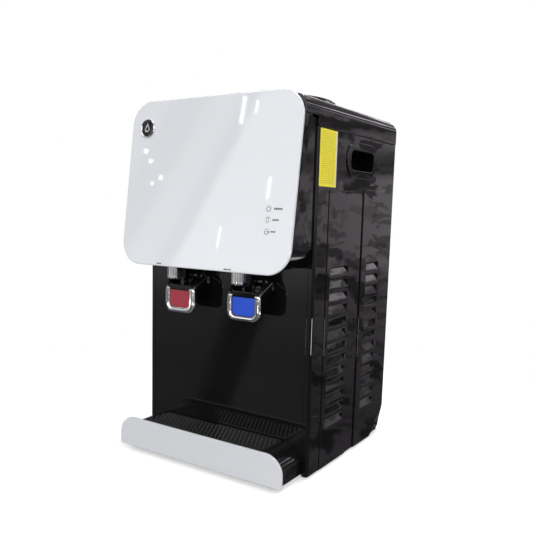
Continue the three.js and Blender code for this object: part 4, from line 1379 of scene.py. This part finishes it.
def make_world():
    world = bpy.data.worlds.new("studio")
    bpy.context.scene.world = world
    world.use_nodes = True
    sky = Sky(world.node_tree)
    rear = sky.maths("MULTIPLY", sky.profile(sky.elevation, REAR_ROOM), sky.clutter(0.33, 0.3, 11.0, 0.16))
    rear = sky.maths("MULTIPLY", rear, sky.clutter(0.75, 0.6, 3.0, 0.2))
    slant = sky.maths("SUBTRACT", sky.azimuth, sky.maths("MULTIPLY", sky.elevation, 0.333))
    front = sky.maths("MULTIPLY", sky.profile(sky.elevation, FRONT_ROOM), sky.profile(slant, BANDS))
    behind = sky.add("ShaderNodeMapRange", {"Value": sky.forward, "From Min": -0.2, "From Max": 0.15})
    level = sky.add("ShaderNodeMix", {0: behind.outputs["Result"], 2: front, 3: rear}).outputs[0]
    tint = sky.add("ShaderNodeMix", {0: behind.outputs["Result"]}, data_type="RGBA")
    tint.inputs[6].default_value = (0.985, 0.995, 1.01, 1)
    tint.inputs[7].default_value = (1.04, 0.96, 1.03, 1)
    lit = sky.add("ShaderNodeBackground", {"Color": tint.outputs[2], "Strength": level})
    plain = sky.add("ShaderNodeBackground", {"Color": (1, 1, 1, 1), "Strength": 1.0})
    seen = sky.add("ShaderNodeLightPath").outputs["Is Camera Ray"]
    both = sky.add("ShaderNodeMixShader", {0: seen, 1: lit.outputs[0], 2: plain.outputs[0]})
    sky.add("ShaderNodeOutputWorld", {"Surface": both.outputs[0]})


def make_floor():
    work = bmesh.new()
    bmesh.ops.create_grid(work, x_segments=8, y_segments=8, size=6)
    mesh = bpy.data.meshes.new("floor")
    work.to_mesh(mesh)
    work.free()
    floor = bpy.data.objects.new("floor", mesh)
    bpy.context.scene.collection.objects.link(floor)
    paint = bpy.data.materials.new("floor_paint")
    paint.use_nodes = True
    tree = Nodes(paint.node_tree)
    shader = tree.nodes["Principled BSDF"].inputs
    shader["Base Color"].default_value = (0.93, 0.93, 0.93, 1)
    shader["Roughness"].default_value = 0.7
    shader["Emission Color"].default_value = (1, 1, 1, 1)
    shader["Emission Strength"].default_value = 0.3
    place = tree.add("ShaderNodeTexCoord").outputs["Object"]
    reach = tree.add("ShaderNodeVectorMath", {0: place}, operation="LENGTH").outputs["Value"]
    fade = tree.add("ShaderNodeMapRange", {
        "Value": reach, "From Min": 0.35, "From Max": 0.75, "To Min": 0.7, "To Max": 0.0},
        interpolation_type="SMOOTHSTEP")
    tree.links.new(fade.outputs["Result"], shader["Alpha"])
    mesh.materials.append(paint)
    floor.visible_glossy = False


def area_light(name, place, target, size, power):
    data = bpy.data.lights.new(name, "AREA")
    data.shape = "RECTANGLE"
    data.size, data.size_y = size
    data.energy = power
    light = bpy.data.objects.new(name, data)
    bpy.context.scene.collection.objects.link(light)
    light.location = place
    light.rotation_euler = (Vector(target) - Vector(place)).to_track_quat("-Z", "Y").to_euler()


# Small lamps far off: azimuth and elevation in degrees, width and height in degrees, radiance.
LAMPS = (
    (-45.2, 15.5, 0.35, 0.45, 7), (-44.6, 14.7, 0.35, 0.35, 7), (-43.4, 13.4, 0.3, 0.4, 7),
    (-44.1, 12.7, 0.25, 0.25, 7), (-36.7, 20.9, 0.35, 2.6, 6), (-35.4, 21.4, 0.25, 1.2, 5),
    (-37.0, 8.9, 0.2, 2.0, 5), (-33.0, 14.3, 0.3, 2.0, 5), (-39.5, -8.6, 0.9, 0.35, 12),
    (62, -11.5, 16, 3.6, 16), (-7.5, 7.7, 18, 2.4, 60), (-15, 63, 34, 5, 6),
    (30, 52, 5, 5, 12))
LAMP_DISTANCE = 12.0


def make_lights():
    area_light("key", (-1.4, -2.4, 2.3), (0, 0, 0.25), (1.2, 1.2), 4)
    area_light("fill", (2.4, -1.6, 1.6), (0, 0, 0.25), (1.4, 1.4), 25)
    area_light("top", (0.2, 0.4, 2.6), (0, 0, 0.3), (0.6, 0.6), 42)
    target = Vector((0, 0, 0.3))
    for index, (azimuth, elevation, wide, tall, radiance) in enumerate(LAMPS):
        a, e = math.radians(azimuth), math.radians(elevation)
        away = Vector((math.sin(a) * math.cos(e), -math.cos(a) * math.cos(e), math.sin(e)))
        size = [LAMP_DISTANCE * math.radians(angle) for angle in (wide, tall)]
        power = radiance * math.pi * size[0] * size[1]
        area_light(f"lamp_{index}", target + away * LAMP_DISTANCE, target, size, power)


def main():
    make_camera()
    make_world()
    make_floor()
    make_lights()
    bpy.context.scene.view_settings.view_transform = "Standard"
    build_sides()
    build_wall()
    build_base()
    build_housing()
    build_plate()
    build_cover()
    build_seat()
    build_taps()
    build_tray()
    build_grille()
    build_rear_panel()
    build_condenser()
    build_switches(REAR_FACE)
    build_inlet(REAR_FACE)
    build_drain(REAR_FACE)
    finish_inner()


main()
